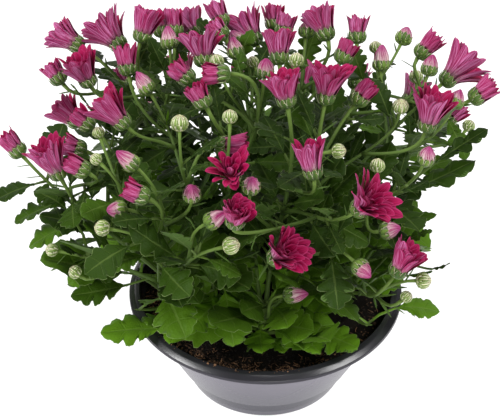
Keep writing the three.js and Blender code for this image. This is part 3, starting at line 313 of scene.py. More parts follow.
def growStems(name, base, everyHead, corners):
    # the frame's stems again: each head's stem leaves a stretch of an earlier stem at the fork angle
    # and follows a cubic curve, and the one of the few possible curves is kept whose first section
    # is a section of the frame
    v = stemValues
    x, y = base
    ground = float(soilHeight(x, y))
    rootEnd, collar = np.array([x, y, ground - v["rootDepth"]]), np.array([x, y, ground + v["collar"]])
    own = [head for head in everyHead if head["cutting"] == name]
    middle = sum(head["foot"] for head in own) / len(own)
    lean = unit(np.array([middle[0] - x, middle[1] - y, v["leanRise"]]))
    pinch = collar + lean * (v["pinchHeight"] - collar[2]) / lean[2]
    forks = [collar + (pinch - collar) * k for k in v["mainForks"]]
    path = np.array([rootEnd, collar] + forks + [pinch + lean * v["stub"]])
    main = stemOf(path, v["radius"] - v["taper"] * np.arange(len(path)), v["mainSides"], None)
    stems = [main]
    forkCos, forkSin = math.cos(math.radians(v["forkAngle"])), math.sin(math.radians(v["forkAngle"]))
    for head in sorted(own, key=lambda head: -lengthOf(head["foot"] - pinch)):
        best = None
        for stem in stems:
            last = len(stem["path"]) - (2 if stem is main else 1)  # nothing grows from the main stem's stub
            for segment in range(1, last):
                way = unit(stem["path"][segment + 1] - stem["path"][segment])
                point = stem["path"][segment + 1] - way * v["forkBase"] / 2
                span = head["foot"] - point
                startWay = way * forkCos + unit(span - way * span.dot(way)) * forkSin
                steps = max(2, int(lengthOf(span) / v["step"] + 0.5))
                start = v["branchRadius"]
                if stem is not main:
                    start = min(start, stem["radii"][segment] - 0.1)
                radii = start + (v["peduncleRadius"] - start) * np.arange(steps + 1) / steps
                for slack in v["slacks"]:
                    path = curve(point, startWay, head["foot"], head["way"], slack, steps)
                    near = corners.find_n(path[1], v["branchSides"])
                    miss = max(abs(found[2] - radii[1]) for found in near)
                    if best is None or miss < best[0]:
                        best = (miss, path, radii, (point, startWay, head["foot"], head["way"], slack))
        stems.append(stemOf(best[1], best[2], v["branchSides"], head, best[3]))
        stems[-1]["miss"] = best[0]
    return stems


def stemFace(stem, segment, face):
    # where a leaf or branch starts on one flat face of the frame's stem, and the way that face looks
    rings, following = stem["rings"], (face + 1) % stem["sides"]
    high = (rings[segment + 1][face] + rings[segment + 1][following]) / 2
    low = (rings[segment][face] + rings[segment][following]) / 2
    core = (stem["path"][segment] + stem["path"][segment + 1]) / 2
    return high + unit(low - high) * stemValues["leafBase"] / 2, unit((low + high) / 2 - core)


drawState = 20451


def draw():
    # the frame's own stream of draws between 0 and 1
    global drawState
    drawState = (drawState * 1664525 + 1013904223) % 4294967296
    return drawState / 4294967296


leafValues = {
    "lowLength": 64, "highLength": 38, "bottomHeight": 90, "topHeight": 270, "petiole": 0.22, "width": 0.9,
    "fold": 0.22, "lobedSpan": 30, "droop": (0.16, 0.06), "frameThickness": 1.3, "ribPlace": 0.55,
    "closing": 14, "tilting": 8, "rolling": 0.5,  # what height and tilt do to a leaf's pitch and roll
    "openings": [64, 82, 46], "turns": [0, 1, -1, 2, -2], "shrinks": [1, 0.85],
    "lifts": [0, 5, -5, 9, -9, 13, -12], "keySkew": 0.3, "keyReach": 60,
    "slim": 0.62, "slimBeyond": (110, 170),  # narrow, deeply cut leaves: their width, from which x and z
    "veinFirst": 0.06, "veinEvery": 0.235,  # places of the side veins along the blade
}


leafTries = [(turn, opening, shrink) for shrink in leafValues["shrinks"] for opening in leafValues["openings"]
             for turn in leafValues["turns"]]


def leafAlong(leaf, t):
    # quadratic Bezier from the root over the shoulder to the tip
    s = 1 - t
    return leaf["root"] * s * s + leaf["shoulder"] * 2 * s * t + leaf["tip"] * t * t


def leafFrom(stem, segment, face, way, size, high, tilt, skew, opening, shrink):
    # a leaf on one face: its reach opens from the stem by the pitch, and it droops a little
    v = leafValues
    root, outward = stemFace(stem, segment, face)
    pitch = math.radians(opening - v["closing"] * high + v["tilting"] * tilt)
    reach = way * math.cos(pitch) + outward * math.sin(pitch)
    long = size * shrink
    low, top = v["droop"]
    droop = np.array([0, 0, (low + (top - low) * high) * long])
    shoulder, tip = root + reach * long * 0.5 + droop * 0.3, root + reach * long - droop
    return {"root": root, "shoulder": shoulder, "tip": tip, "roll": (tilt - 0.5) * v["rolling"],
            "petiole": v["petiole"], "skew": skew, "slim": 1.0, "grid": "fine"}


def highUp(z):
    # 0 at the height of the lowest leaves, 1 at that of the highest
    low, top = leafValues["bottomHeight"], leafValues["topHeight"]
    return min(1.0, max(0.0, (z - low) / (top - low)))


def ribTop(leaf):
    # the frame's corner over the midrib, a little past the blade's middle
    t = leaf["petiole"] + (1 - leaf["petiole"]) * leafValues["ribPlace"]
    forward = unit(leafAlong(leaf, t + 0.05) - leafAlong(leaf, t - 0.05))
    level = np.cross(leaf["tip"] - leaf["root"], [0, 0, 1.0])
    flat = unit(level - forward * level.dot(forward))
    side = flat * math.cos(leaf["roll"]) + np.cross(flat, forward) * math.sin(leaf["roll"])
    return leafAlong(leaf, t) + np.cross(side, forward) * leafValues["frameThickness"] / 2


def findKeyLeaves(name, stems, corners):
    # each large leaf stands on the face of a stem from which a corner of the frame lies over its rib
    v, found = leafValues, []
    beyond, above = v["slimBeyond"]
    for cutting, neck, tip in keyLeaves:
        if cutting != name:
            continue
        slim = v["slim"] if tip[0] > beyond and tip[2] > above else 1.0
        for lift in v["lifts"]:
            here, end = np.array(neck, float) + [0, 0, lift], np.array(tip, float) + [0, 0, lift]
            if corners.find(end)[2] > matchWithin:
                continue
            for stem in stems:
                for segment in range(1, len(stem["path"]) - 1):
                    for face in range(stem["sides"]):
                        root, _ = stemFace(stem, segment, face)
                        away = lengthOf(here - root)
                        petiole = away / (away + lengthOf(end - here))
                        leaf = {"root": root, "shoulder": here, "tip": end, "roll": 0.0, "petiole": petiole,
                                "skew": v["keySkew"], "slim": slim, "grid": "fine"}
                        if away < v["keyReach"] and corners.find(ribTop(leaf))[2] < matchWithin:
                            found.append(leaf)
            break
    return found


def findLeaves(stem, corners):
    # the leaves of the frame on one stem: of the few ways in which a leaf may stand, the one whose
    # tip is a corner of the frame
    v, found, sides = leafValues, [], stem["sides"]
    spiral = int(draw() * sides)
    for segment in range(1, len(stem["path"]) - 1):
        way = unit(stem["path"][segment + 1] - stem["path"][segment])
        high = highUp((stem["path"][segment][2] + stem["path"][segment + 1][2]) / 2)
        size = (v["lowLength"] + (v["highLength"] - v["lowLength"]) * high) * (0.85 + 0.3 * draw())
        tilt = draw()
        skew = draw() * 2 - 1
        draw()  # the frame draws once more here
        spiral += 2
        for turn, opening, shrink in leafTries:
            face = (spiral + turn) % sides
            leaf = leafFrom(stem, segment, face, way, size, high, tilt, skew, opening, shrink)
            if corners.find(leaf["tip"])[2] < matchWithin:
                found.append(leaf)
                break
    return found


everyHead = [headOf(row) for row in heads]
everyCorner = {name: cornersOf("plant_" + name) for name in cuttings}
stemsOf = {name: growStems(name, base, everyHead + [shootOf(row) for row in shoots], everyCorner[name])
           for name, base in cuttings.items()}
leavesOf = {name: findKeyLeaves(name, stemsOf[name], everyCorner[name]) for name in cuttings}
for leafRound in range(2):
    for name, stems in stemsOf.items():
        for stem in stems:
            leavesOf[name] += findLeaves(stem, everyCorner[name])
print("layout:", sum(map(len, stemsOf.values())), "stems", sum(map(len, leavesOf.values())), "leaves",
      "worst miss", max(stem.get("miss", 0) for stems in stemsOf.values() for stem in stems))


def tubeSet(rings, tone=0.5, side=None, uv=None, start=None, end=None, rim=None):
    # closed tubes from sections: rings is (pieces, rows, around, 3). Each end closes on one point,
    # by default the middle of its section. Sides are quads and the ends are fans of triangles.
    # An edge between two corners of the rim is a sharp one.
    count, rows, around, _ = rings.shape
    size = rows * around + 2
    start = rings[:, 0].mean(1) if start is None else start
    end = rings[:, -1].mean(1) if end is None else end
    points = np.concatenate([rings.reshape(count, -1, 3), start[:, None], end[:, None]], 1)
    first = np.arange(count)[:, None, None] * size
    r, k = np.arange(rows - 1)[None, :, None], np.arange(around)[None, None, :]
    a, b = first + r * around + k, first + r * around + (k + 1) % around
    quads = np.stack([a, b, b + around, a + around], -1).reshape(-1, 4)
    here, following, last = np.arange(around), (np.arange(around) + 1) % around, (rows - 1) * around
    flat = first[:, :, 0]
    low = np.stack([flat + following, flat + here, flat + size - 2 + 0 * here], -1)
    high = np.stack([flat + last + here, flat + last + following, flat + size - 1 + 0 * here], -1)
    tris = np.concatenate([low, high], 1).reshape(-1, 3)
    # the first tube's volume tells whether its faces look outwards
    ring = rings[0].reshape(-1, 3)
    inner = quads[quads.max(1) < size]
    firstPoints = np.concatenate([ring, start[:1], end[:1]]) - ring.mean(0)
    volume = 0.0
    for corners in (inner[:, [0, 1, 2]], inner[:, [0, 2, 3]], tris[tris.max(1) < size]):
        p, q, s = (firstPoints[corners[:, n]] for n in range(3))
        volume += (p * np.cross(q, s)).sum()
    if volume < 0:
        quads, tris = quads[:, ::-1], tris[:, ::-1]
    uvs = np.zeros((count, rows, around, 2)) if uv is None else np.broadcast_to(uv, (count, rows, around, 2))
    sides = np.zeros((count, rows, around)) if side is None else np.broadcast_to(side, (count, rows, around))
    rims = np.zeros((count, size))
    if rim is not None:
        rims[:, :rows * around] = np.broadcast_to(rim, (count, rows, around)).reshape(count, -1)
    tones = np.broadcast_to(np.asarray(tone, float).reshape(-1, 1), (count, size))

    def withEnds(values):
        # the two end points take the mean of their sections
        closing = [values[:, row].mean(1).reshape(count, 1, -1) for row in (0, -1)]
        return np.concatenate([values.reshape(count, rows * around, -1)] + closing, 1)

    return {"points": points.reshape(-1, 3), "quads": quads, "tris": tris, "uv": withEnds(uvs).reshape(-1, 2),
            "side": withEnds(sides).reshape(-1), "tone": tones.reshape(-1), "rim": rims.reshape(-1)}


def pieceFrom(name, parts, slot, *replaced):
    # one object from parts, each a tube set with its material
    materials = []
    pointLists = ("points", "uv", "side", "tone", "rim")
    lists = {key: [] for key in pointLists + ("quads", "tris", "quadFinish", "triFinish")}
    offset = 0
    for part, material in parts:
        if material not in materials:
            materials.append(material)
        finish = materials.index(material)
        lists["quads"].append(part["quads"] + offset)
        lists["tris"].append(part["tris"] + offset)
        for key in pointLists:
            lists[key].append(part[key])
        lists["quadFinish"].append(np.full(len(part["quads"]), finish))
        lists["triFinish"].append(np.full(len(part["tris"]), finish))
        offset += len(part["points"])
    made = {key: np.concatenate(values) for key, values in lists.items()}
    mesh = bpy.data.meshes.new(name)
    mesh.vertices.add(offset)
    mesh.vertices.foreach_set("co", (made["points"] * millimetre).astype(np.float32).ravel())
    loops = np.concatenate([made["quads"].ravel(), made["tris"].ravel()]).astype(np.int32)
    totals = np.concatenate([np.full(len(made["quads"]), 4), np.full(len(made["tris"]), 3)]).astype(np.int32)
    finishes = np.concatenate([made["quadFinish"], made["triFinish"]]).astype(np.int32)
    mesh.loops.add(len(loops))
    mesh.loops.foreach_set("vertex_index", loops)
    mesh.polygons.add(len(totals))
    mesh.polygons.foreach_set("loop_start", (np.cumsum(totals) - totals).astype(np.int32))
    mesh.polygons.foreach_set("loop_total", totals)
    mesh.polygons.foreach_set("material_index", finishes)
    mesh.polygons.foreach_set("use_smooth", np.ones(len(totals), bool))
    mesh.update(calc_edges=True)
    pairs = np.empty(len(mesh.edges) * 2, np.int32)
    mesh.edges.foreach_get("vertices", pairs)
    sharp = mesh.attributes.new("sharp_edge", "BOOLEAN", "EDGE")
    sharp.data.foreach_set("value", (made["rim"] > 0)[pairs.reshape(-1, 2)].all(1))
    layer = mesh.uv_layers.new(name="UVMap")
    layer.data.foreach_set("uv", made["uv"][loops].astype(np.float32).ravel())
    for key in ("side", "tone"):
        values = mesh.attributes.new(key, "FLOAT", "POINT")
        values.data.foreach_set("value", made[key].astype(np.float32))
    for material in materials:
        mesh.materials.append(material)
    piece = bpy.data.objects.new(name, mesh)
    bpy.context.collection.objects.link(piece)
    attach(piece, "root")
    if replaced:
        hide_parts(*replaced)
    return piece


perMetre = 1000.0  # a noise's scale is this over the width of its spots in millimetres
grain, coarse = {"Detail": 3.0, "Roughness": 0.55}, {"Detail": 4.0, "Roughness": 0.7}  # two kinds of noise
colourMix = {"data_type": "RGBA", "out": 2}  # inputs: 0 the share, 6 and 7 the two colours
smooth = {"interpolation_type": "SMOOTHSTEP"}  # inputs: the value, where it starts and ends, from and to


def linearColour(hexValue):
    # sRGB hex to linear colour with alpha
    values = [int(hexValue[k:k + 2], 16) / 255 for k in (1, 3, 5)]
    return [v / 12.92 if v <= 0.04045 else ((v + 0.055) / 1.055) ** 2.4 for v in values] + [1.0]


def addNode(tree, kind, inputs=(), out=0, **settings):
    # adds a node and gives one of its outputs. Its inputs are a list in their order or a dictionary
    # by name or number, of values, hex colours and other nodes' outputs; settings are its properties.
    node = tree.nodes.new("ShaderNode" + kind)
    for key, value in settings.items():
        setattr(node, key, value)
    for key, value in inputs.items() if isinstance(inputs, dict) else enumerate(inputs):
        if isinstance(value, bpy.types.NodeSocket):
            tree.links.new(value, node.inputs[key])
        else:
            node.inputs[key].default_value = linearColour(value) if isinstance(value, str) else value
    return node.outputs[out]


def newMaterial(name, **settings):
    # a material, its nodes and its shader; settings are the shader's inputs, with _ for a space
    material = bpy.data.materials.new(name)
    material.use_nodes = True
    shader = material.node_tree.nodes["Principled BSDF"]
    for key, value in settings.items():
        shader.inputs[key.replace("_", " ")].default_value = value
    return material, material.node_tree, shader


def leafMaterial():
    # chrysanthemum leaf: a finely haired green blade, dull on top, greyer and paler below, with pale
    # sunk veins that run to the lobes
    material, tree, shader = newMaterial("chrysanthemumLeaf", Roughness=0.48, Sheen_Weight=0.01,
                                         Sheen_Roughness=0.5, Specular_IOR_Level=0.12)
    tone = addNode(tree, "Attribute", out="Fac", attribute_name="tone")
    side = addNode(tree, "Attribute", out="Fac", attribute_name="side")
    place, uv = addNode(tree, "TexCoord", out="Object"), addNode(tree, "TexCoord", out="UV")
    u, v = addNode(tree, "SeparateXYZ", [uv]).node.outputs[:2]
    across = addNode(tree, "Math", [u, 2.0, -1.0], operation="MULTIPLY_ADD")
    off = addNode(tree, "Math", [across], operation="ABSOLUTE")  # 0 at the midrib, 1 at the edge
    every = leafValues["veinEvery"]
    shifted = addNode(tree, "Math", [v, every - leafValues["veinFirst"]], operation="ADD")
    wave = addNode(tree, "Math", [shifted, every / 2], operation="PINGPONG")  # 0 on each side vein
    lateral = addNode(tree, "MapRange", [wave, 0.004, 0.016, 1.0, 0.0], **smooth)
    fade = addNode(tree, "MapRange", [off, 0.55, 0.95, 1.0, 0.0], **smooth)
    midrib = addNode(tree, "MapRange", [off, 0.02, 0.10, 1.0, 0.0], **smooth)
    lateral = addNode(tree, "Math", [lateral, fade], operation="MULTIPLY")
    vein = addNode(tree, "Math", [lateral, midrib], operation="MAXIMUM")
    patches = addNode(tree, "TexNoise", {**grain, "Vector": place, "Scale": perMetre / 14})
    fine = addNode(tree, "TexNoise", {**grain, "Vector": place, "Scale": perMetre / 1.6, "Detail": 2.0})
    # the upper side, from deep to yellow green, with darker patches and faint veins
    light = addNode(tree, "MapRange", [tone], **smooth)
    top = addNode(tree, "Mix", {0: light, 6: "#263D0A", 7: "#6B9A20"}, **colourMix)
    dark = addNode(tree, "Math", [patches, 0.4], operation="MULTIPLY")
    top = addNode(tree, "Mix", {0: dark, 6: top, 7: "#192A06"}, **colourMix)
    faint = addNode(tree, "Math", [vein, 0.06], operation="MULTIPLY")
    faint = addNode(tree, "Math", [midrib, 0.14, faint], operation="MULTIPLY_ADD")
    top = addNode(tree, "Mix", {0: faint, 6: top, 7: "#8DA657"}, **colourMix)
    # the lower side, with plainer veins
    below = addNode(tree, "Mix", {0: patches, 6: "#5B7736", 7: "#3F5A26"}, **colourMix)
    plain = addNode(tree, "Math", [vein, 0.3], operation="MULTIPLY")
    below = addNode(tree, "Mix", {0: plain, 6: below, 7: "#8FA264"}, **colourMix)
    under = addNode(tree, "MapRange", [side, 0.02, 0.12], **smooth)
    colour = addNode(tree, "Mix", {0: under, 6: top, 7: below}, **colourMix)
    above = addNode(tree, "Math", [1.0, under], operation="SUBTRACT")
    rim = addNode(tree, "MapRange", [off, 0.965, 1.0, 0.0, 0.5], **smooth)
    rim = addNode(tree, "Math", [rim, above], operation="MULTIPLY")
    colour = addNode(tree, "Mix", {0: rim, 6: colour, 7: "#B4C886"}, **colourMix)
    height = addNode(tree, "Math", [vein, -0.6, fine], operation="MULTIPLY_ADD")
    bump = addNode(tree, "Bump", {"Height": height, "Distance": 0.5 * millimetre, "Strength": 0.8})
    tree.links.new(colour, shader.inputs["Base Color"])
    tree.links.new(bump, shader.inputs["Normal"])
    return material


def stemMaterial():
    # green stem: finely downy and faintly streaked, from deep to pale green by its tone
    material, tree, shader = newMaterial("greenStem", Roughness=0.5, Sheen_Weight=0.02, Sheen_Roughness=0.4,
                                         Specular_IOR_Level=0.2)
    tone = addNode(tree, "Attribute", out="Fac", attribute_name="tone")
    place = addNode(tree, "TexCoord", out="Object")
    streaks = addNode(tree, "TexNoise", {**grain, "Vector": place, "Scale": perMetre / 3, "Detail": 4.0})
    colour = addNode(tree, "Mix", {0: tone, 6: "#2C4414", 7: "#7F9B49"}, **colourMix)
    faint = addNode(tree, "Math", [streaks, 0.5], operation="MULTIPLY")
    colour = addNode(tree, "Mix", {0: faint, 6: colour, 7: "#4D682A"}, **colourMix)
    bump = addNode(tree, "Bump", {"Height": streaks, "Distance": 0.25 * millimetre, "Strength": 0.5})
    tree.links.new(colour, shader.inputs["Base Color"])
    tree.links.new(bump, shader.inputs["Normal"])
    return material


def bractMaterial():
    # bract: a green midrib between thin dry cream margins, browned to pink at the tip. The side
    # attribute is 1 on closed buds, whose margins widen upwards.
    material, tree, shader = newMaterial("calyxBract", Roughness=0.55, Sheen_Weight=0.05,
                                         Specular_IOR_Level=0.3)
    place, uv = addNode(tree, "TexCoord", out="Object"), addNode(tree, "TexCoord", out="UV")
    u, v = addNode(tree, "SeparateXYZ", [uv]).node.outputs[:2]
    tone = addNode(tree, "Attribute", out="Fac", attribute_name="tone")
    isBud = addNode(tree, "Attribute", out="Fac", attribute_name="side")
    across = addNode(tree, "Math", [u, 2.0, -1.0], operation="MULTIPLY_ADD")
    off = addNode(tree, "Math", [across], operation="ABSOLUTE")
    widened = addNode(tree, "Math", [v, 0.28, 0.28], operation="MULTIPLY_ADD")
    narrow = addNode(tree, "Math", [v, 0.18, off], operation="MULTIPLY_ADD")
    reach = addNode(tree, "Math", [isBud, widened, narrow], operation="MULTIPLY_ADD")
    margin = addNode(tree, "MapRange", [reach, 0.82, 1.04], **smooth)
    green = addNode(tree, "Mix", {0: tone, 6: "#38581B", 7: "#7A983E"}, **colourMix)
    paler = addNode(tree, "Math", [isBud, 0.3], operation="MULTIPLY")
    green = addNode(tree, "Mix", {0: paler, 6: green, 7: "#9DB45A"}, **colourMix)
    colour = addNode(tree, "Mix", {0: margin, 6: green, 7: "#ECEDC8"}, **colourMix)
    browned = addNode(tree, "MapRange", [v, 0.8, 1.0, 0.0, 0.55], **smooth)
    colour = addNode(tree, "Mix", {0: browned, 6: colour, 7: "#A8705A"}, **colourMix)
    speck = addNode(tree, "TexNoise", {**grain, "Vector": place, "Scale": perMetre / 0.8, "Detail": 2.0})
    bump = addNode(tree, "Bump", {"Height": speck, "Distance": 0.1 * millimetre, "Strength": 0.5})
    tree.links.new(colour, shader.inputs["Base Color"])
    tree.links.new(bump, shader.inputs["Normal"])
    return material


def budMaterial():
    # bud core: the tightly packed petals that show between the bracts, cream to pale yellow
    material, tree, shader = newMaterial("budCore", Roughness=0.6)
    place = addNode(tree, "TexCoord", out="Object")
    speck = addNode(tree, "TexNoise", {**grain, "Vector": place, "Scale": perMetre / 1.2})
    share = addNode(tree, "MapRange", [speck, 0.4, 0.65], **smooth)
    colour = addNode(tree, "Mix", {0: share, 6: "#C6CB8C", 7: "#ECEBC6"}, **colourMix)
    bump = addNode(tree, "Bump", {"Height": speck, "Distance": 0.4 * millimetre, "Strength": 0.6})
    tree.links.new(colour, shader.inputs["Base Color"])
    tree.links.new(bump, shader.inputs["Normal"])
    return material


def petalMaterial():
    # ray petal: velvety magenta inside, paler mauve-pink outside, with fine lengthwise streaks and a
    # whitish foot. The side attribute is 1 outside, and the tone attribute is its age.
    material, tree, shader = newMaterial("rayPetal", Roughness=0.55, Sheen_Weight=0.02, Sheen_Roughness=0.35,
                                         Specular_IOR_Level=0.08)
    tone = addNode(tree, "Attribute", out="Fac", attribute_name="tone")
    side = addNode(tree, "Attribute", out="Fac", attribute_name="side")
    uv = addNode(tree, "TexCoord", out="UV")
    u, v = addNode(tree, "SeparateXYZ", [uv]).node.outputs[:2]
    # streaks: noise drawn out along the petal, another stretch of it on each petal
    stretched = addNode(tree, "VectorMath", [uv, (9.0, 0.9, 1.0)], operation="MULTIPLY")
    shift = addNode(tree, "CombineXYZ", {2: addNode(tree, "Math", [tone, 40.0], operation="MULTIPLY")})
    shifted = addNode(tree, "VectorMath", [stretched, shift], operation="ADD")
    streak = addNode(tree, "TexNoise", {"Vector": shifted, "Scale": 1.6, "Detail": 2.0})
    streak = addNode(tree, "MapRange", [streak, 0.35, 0.68], **smooth)
    across = addNode(tree, "Math", [u, 2.0, -1.0], operation="MULTIPLY_ADD")
    edge = addNode(tree, "Math", [across], operation="ABSOLUTE")
    insideEdgeHighlight = addNode(tree, "MapRange", [edge, 0.55, 1.0, 0.0, 0.4], **smooth)
    outsideEdge = addNode(tree, "MapRange", [edge, 0.55, 1.0, 0.0, 0.6], **smooth)
    # inside: crimson, deep at the foot with painted shade, lighter towards the tip, and with a painted
    # highlight on the edges
    inside = addNode(tree, "Mix", {0: streak, 6: "#7C0530", 7: "#B81354"}, **colourMix)
    up = addNode(tree, "MapRange", [v, 0.0, 0.6], **smooth)
    inside = addNode(tree, "Mix", {0: up, 6: "#560420", 7: inside}, **colourMix)
    tip = addNode(tree, "MapRange", [v, 0.6, 1.0, 0.0, 0.3], **smooth)
    inside = addNode(tree, "Mix", {0: tip, 6: inside, 7: "#CC3A78"}, **colourMix)
    inside = addNode(tree, "Mix", {0: insideEdgeHighlight, 6: inside, 7: "#D65490"}, **colourMix)
    # outside: streaked pink with magenta edges, deeper with age
    back = addNode(tree, "Mix", {0: streak, 6: "#8E1450", 7: "#E48EC4"}, **colourMix)
    back = addNode(tree, "Mix", {0: outsideEdge, 6: back, 7: "#A81A62"}, **colourMix)
    aged = addNode(tree, "MapRange", [tone, 0.4, 1.1, 0.0, 0.6], **smooth)
    back = addNode(tree, "Mix", {0: aged, 6: back, 7: "#A0124F"}, **colourMix)
    young = addNode(tree, "MapRange", [tone, 0.3, 0.55, 1.0, 0.0])
    fresh = addNode(tree, "Math", [young, 0.5], operation="MULTIPLY")
    back = addNode(tree, "Mix", {0: fresh, 6: back, 7: "#A2306F"}, **colourMix)
    # the whitish foot, with white streaks that reach further up a young petal
    foot = addNode(tree, "MapRange", [v, 0.0, 0.26, 1.0, 0.0], **smooth)
    strength = addNode(tree, "Math", [young, 0.7, 0.15], operation="MULTIPLY_ADD")
    foot = addNode(tree, "Math", [foot, strength], operation="MULTIPLY")
    white = addNode(tree, "MapRange", [v, 0.15, 0.5, 0.8, 0.0], **smooth)
    white = addNode(tree, "Math", [white, streak], operation="MULTIPLY")
    white = addNode(tree, "Math", [white, young], operation="MULTIPLY")
    foot = addNode(tree, "Math", [foot, white], operation="MAXIMUM")
    back = addNode(tree, "Mix", {0: foot, 6: back, 7: "#EADFD2"}, **colourMix)
    outside = addNode(tree, "MapRange", [side, 0.05, 0.5], **smooth)
    colour = addNode(tree, "Mix", {0: outside, 6: inside, 7: back}, **colourMix)
    # six fine ridges across the petal
    ridges = addNode(tree, "Math", [u, 6 * 2 * math.pi], operation="MULTIPLY")
    ridges = addNode(tree, "Math", [ridges], operation="SINE")
    height = addNode(tree, "Math", [streak, 0.6, ridges], operation="MULTIPLY_ADD")
    bump = addNode(tree, "Bump", {"Height": height, "Distance": 0.12 * millimetre, "Strength": 0.5})
    tree.links.new(colour, shader.inputs["Base Color"])
    tree.links.new(bump, shader.inputs["Normal"])
    return material


def bowlMaterial(name, low, high, specular):
    # injection-moulded polypropylene, dark grey with a violet cast: half glossy, with faint scuffs and fine
    # moulding marks. The outer wall is paler, a painted reflection of the bright table; the lip, band and
    # inside are darker, partly painted shade, and differ in gloss. Low on the wall painted shade deepens it,
    # and the foot's edge is paler with painted light.
    material, tree, shader = newMaterial(name, IOR=1.6, Specular_IOR_Level=specular)
    place = addNode(tree, "TexCoord", out="Object")
    height = addNode(tree, "SeparateXYZ", [place], out=2)
    cloud = addNode(tree, "TexNoise", {**grain, "Vector": place, "Scale": perMetre / 35})
    scuff = addNode(tree, "TexNoise", {**coarse, "Vector": place, "Scale": perMetre / 1.4})
    colour = addNode(tree, "Mix", {0: cloud, 6: low, 7: high}, **colourMix)
    # painted shade: the wall darkens towards its foot
    paintedShade = addNode(tree, "MapRange", [height, 0.02, 0.072, 0.8, 0.0], **smooth)
    colour = addNode(tree, "Mix", {0: paintedShade, 6: colour, 7: "#3A3846"}, **colourMix)
    # painted light: the foot's lowest edge is paler
    paintedFootLight = addNode(tree, "MapRange", [height, 0.007, 0.010, 0.6, 0.0], **smooth)
    colour = addNode(tree, "Mix", {0: paintedFootLight, 6: colour, 7: "#63606C"}, **colourMix)
    roughness = addNode(tree, "Math", [scuff, 0.06, 0.23], operation="MULTIPLY_ADD")
    bump = addNode(tree, "Bump", {"Height": scuff, "Distance": 0.005 * millimetre, "Strength": 0.1})
    tree.links.new(colour, shader.inputs["Base Color"])
    tree.links.new(roughness, shader.inputs["Roughness"])
    tree.links.new(bump, shader.inputs["Normal"])
    return material


def soilMaterial():
    # moist peat: nearly black, crumbly and dull
    material, tree, shader = newMaterial("moistPeat", Roughness=0.92, Specular_IOR_Level=0.25)
    place = addNode(tree, "TexCoord", out="Object")
    crumbs = addNode(tree, "TexNoise", {**coarse, "Vector": place, "Scale": perMetre / 6, "Detail": 5.0})
    grains = addNode(tree, "TexNoise", {**coarse, "Vector": place, "Scale": perMetre / 0.9, "Detail": 3.0})
    brown = addNode(tree, "MapRange", [crumbs, 0.35, 0.7], **smooth)
    colour = addNode(tree, "Mix", {0: brown, 6: "#0D0A07", 7: "#1C140D"}, **colourMix)
    pale = addNode(tree, "MapRange", [grains, 0.62, 0.76, 0.0, 0.4], **smooth)
    colour = addNode(tree, "Mix", {0: pale, 6: colour, 7: "#4A3221"}, **colourMix)
    height = addNode(tree, "Math", [crumbs, grains], operation="ADD")
    bump = addNode(tree, "Bump", {"Height": height, "Distance": 1.2 * millimetre, "Strength": 0.9})
    tree.links.new(colour, shader.inputs["Base Color"])
    tree.links.new(bump, shader.inputs["Normal"])
    return material


def fibreMaterial():
    # dry wood and coir fibre: red-brown with straw-coloured ends
    material, tree, shader = newMaterial("coirFibre", Roughness=0.85)
    tone = addNode(tree, "Attribute", out="Fac", attribute_name="tone")
    place = addNode(tree, "TexCoord", out="Object")
    rough = addNode(tree, "TexNoise", {**grain, "Vector": place, "Scale": perMetre / 0.6, "Detail": 2.0})
    colour = addNode(tree, "Mix", {0: tone, 6: "#120C08", 7: "#BC8C66"}, **colourMix)
    bump = addNode(tree, "Bump", {"Height": rough, "Distance": 0.1 * millimetre, "Strength": 0.6})
    tree.links.new(colour, shader.inputs["Base Color"])
    tree.links.new(bump, shader.inputs["Normal"])
    return material


leafFinish, stemFinish, bractFinish, budFinish = leafMaterial(), stemMaterial(), bractMaterial(), budMaterial()
petalFinish, soilFinish, fibreFinish = petalMaterial(), soilMaterial(), fibreMaterial()
# three copies of one plastic: the wall paler with a painted reflection, the lip, inside and band darker with
# painted shade
wallReflectionFinish = bowlMaterial("polypropyleneWallPaintedReflection", "#544E5F", "#5F586B", 0.3)
lipShadeFinish = bowlMaterial("glossyPolypropyleneLipPaintedShade", "#27262B", "#313036", 0.5)
bandShadeFinish = bowlMaterial("mattPolypropyleneBandPaintedShade", "#3B3941", "#44424A", 0.15)
print("materials made")


bowlValues = {
    "around": 144, "foot": 66, "bandTop": (74, 17.5), "edge": 22, "wallTop": (107, 84), "wall": 2.2,
    "floor": 3, "height": 90, "lipRadius": 115, "lip": 1.7, "skirt": 6.6, "fall": 3.6,
    "shoulder": (110.6, 89.5), "flange": 106, "gap": 0.3,  # the gap is between the bowl and the soil
}


def arcCorner(before, corner, after, radius, steps=4):
    # a corner rounded by a quadratic curve that starts and ends radius away from it
    corner = np.array(corner, float)
    a = corner + unit(np.array(before) - corner) * radius
    b = corner + unit(np.array(after) - corner) * radius
    t = np.linspace(0, 1, steps + 1)[:, None]
    return (1 - t) ** 2 * a + 2 * t * (1 - t) * corner + t * t * b


def turnedRings(profile, around):
    # a profile of [radius, height] carried round the upright axis
    angles = np.arange(around) * 2 * math.pi / around
    rho, z = profile[:, 0][:, None], profile[:, 1][:, None]
    return np.stack([rho * np.cos(angles), rho * np.sin(angles), z + 0 * angles], -1)[None]


def bowlRadius(z):
    # the flared wall's outer radius at a height, on a straight line from the band to the wall's top
    (bandRadius, bandZ), (topRadius, topZ) = bowlValues["bandTop"], bowlValues["wallTop"]
    slope = (topRadius - bandRadius) / (topZ - bandZ)
    return bandRadius + (z - bandZ) * slope


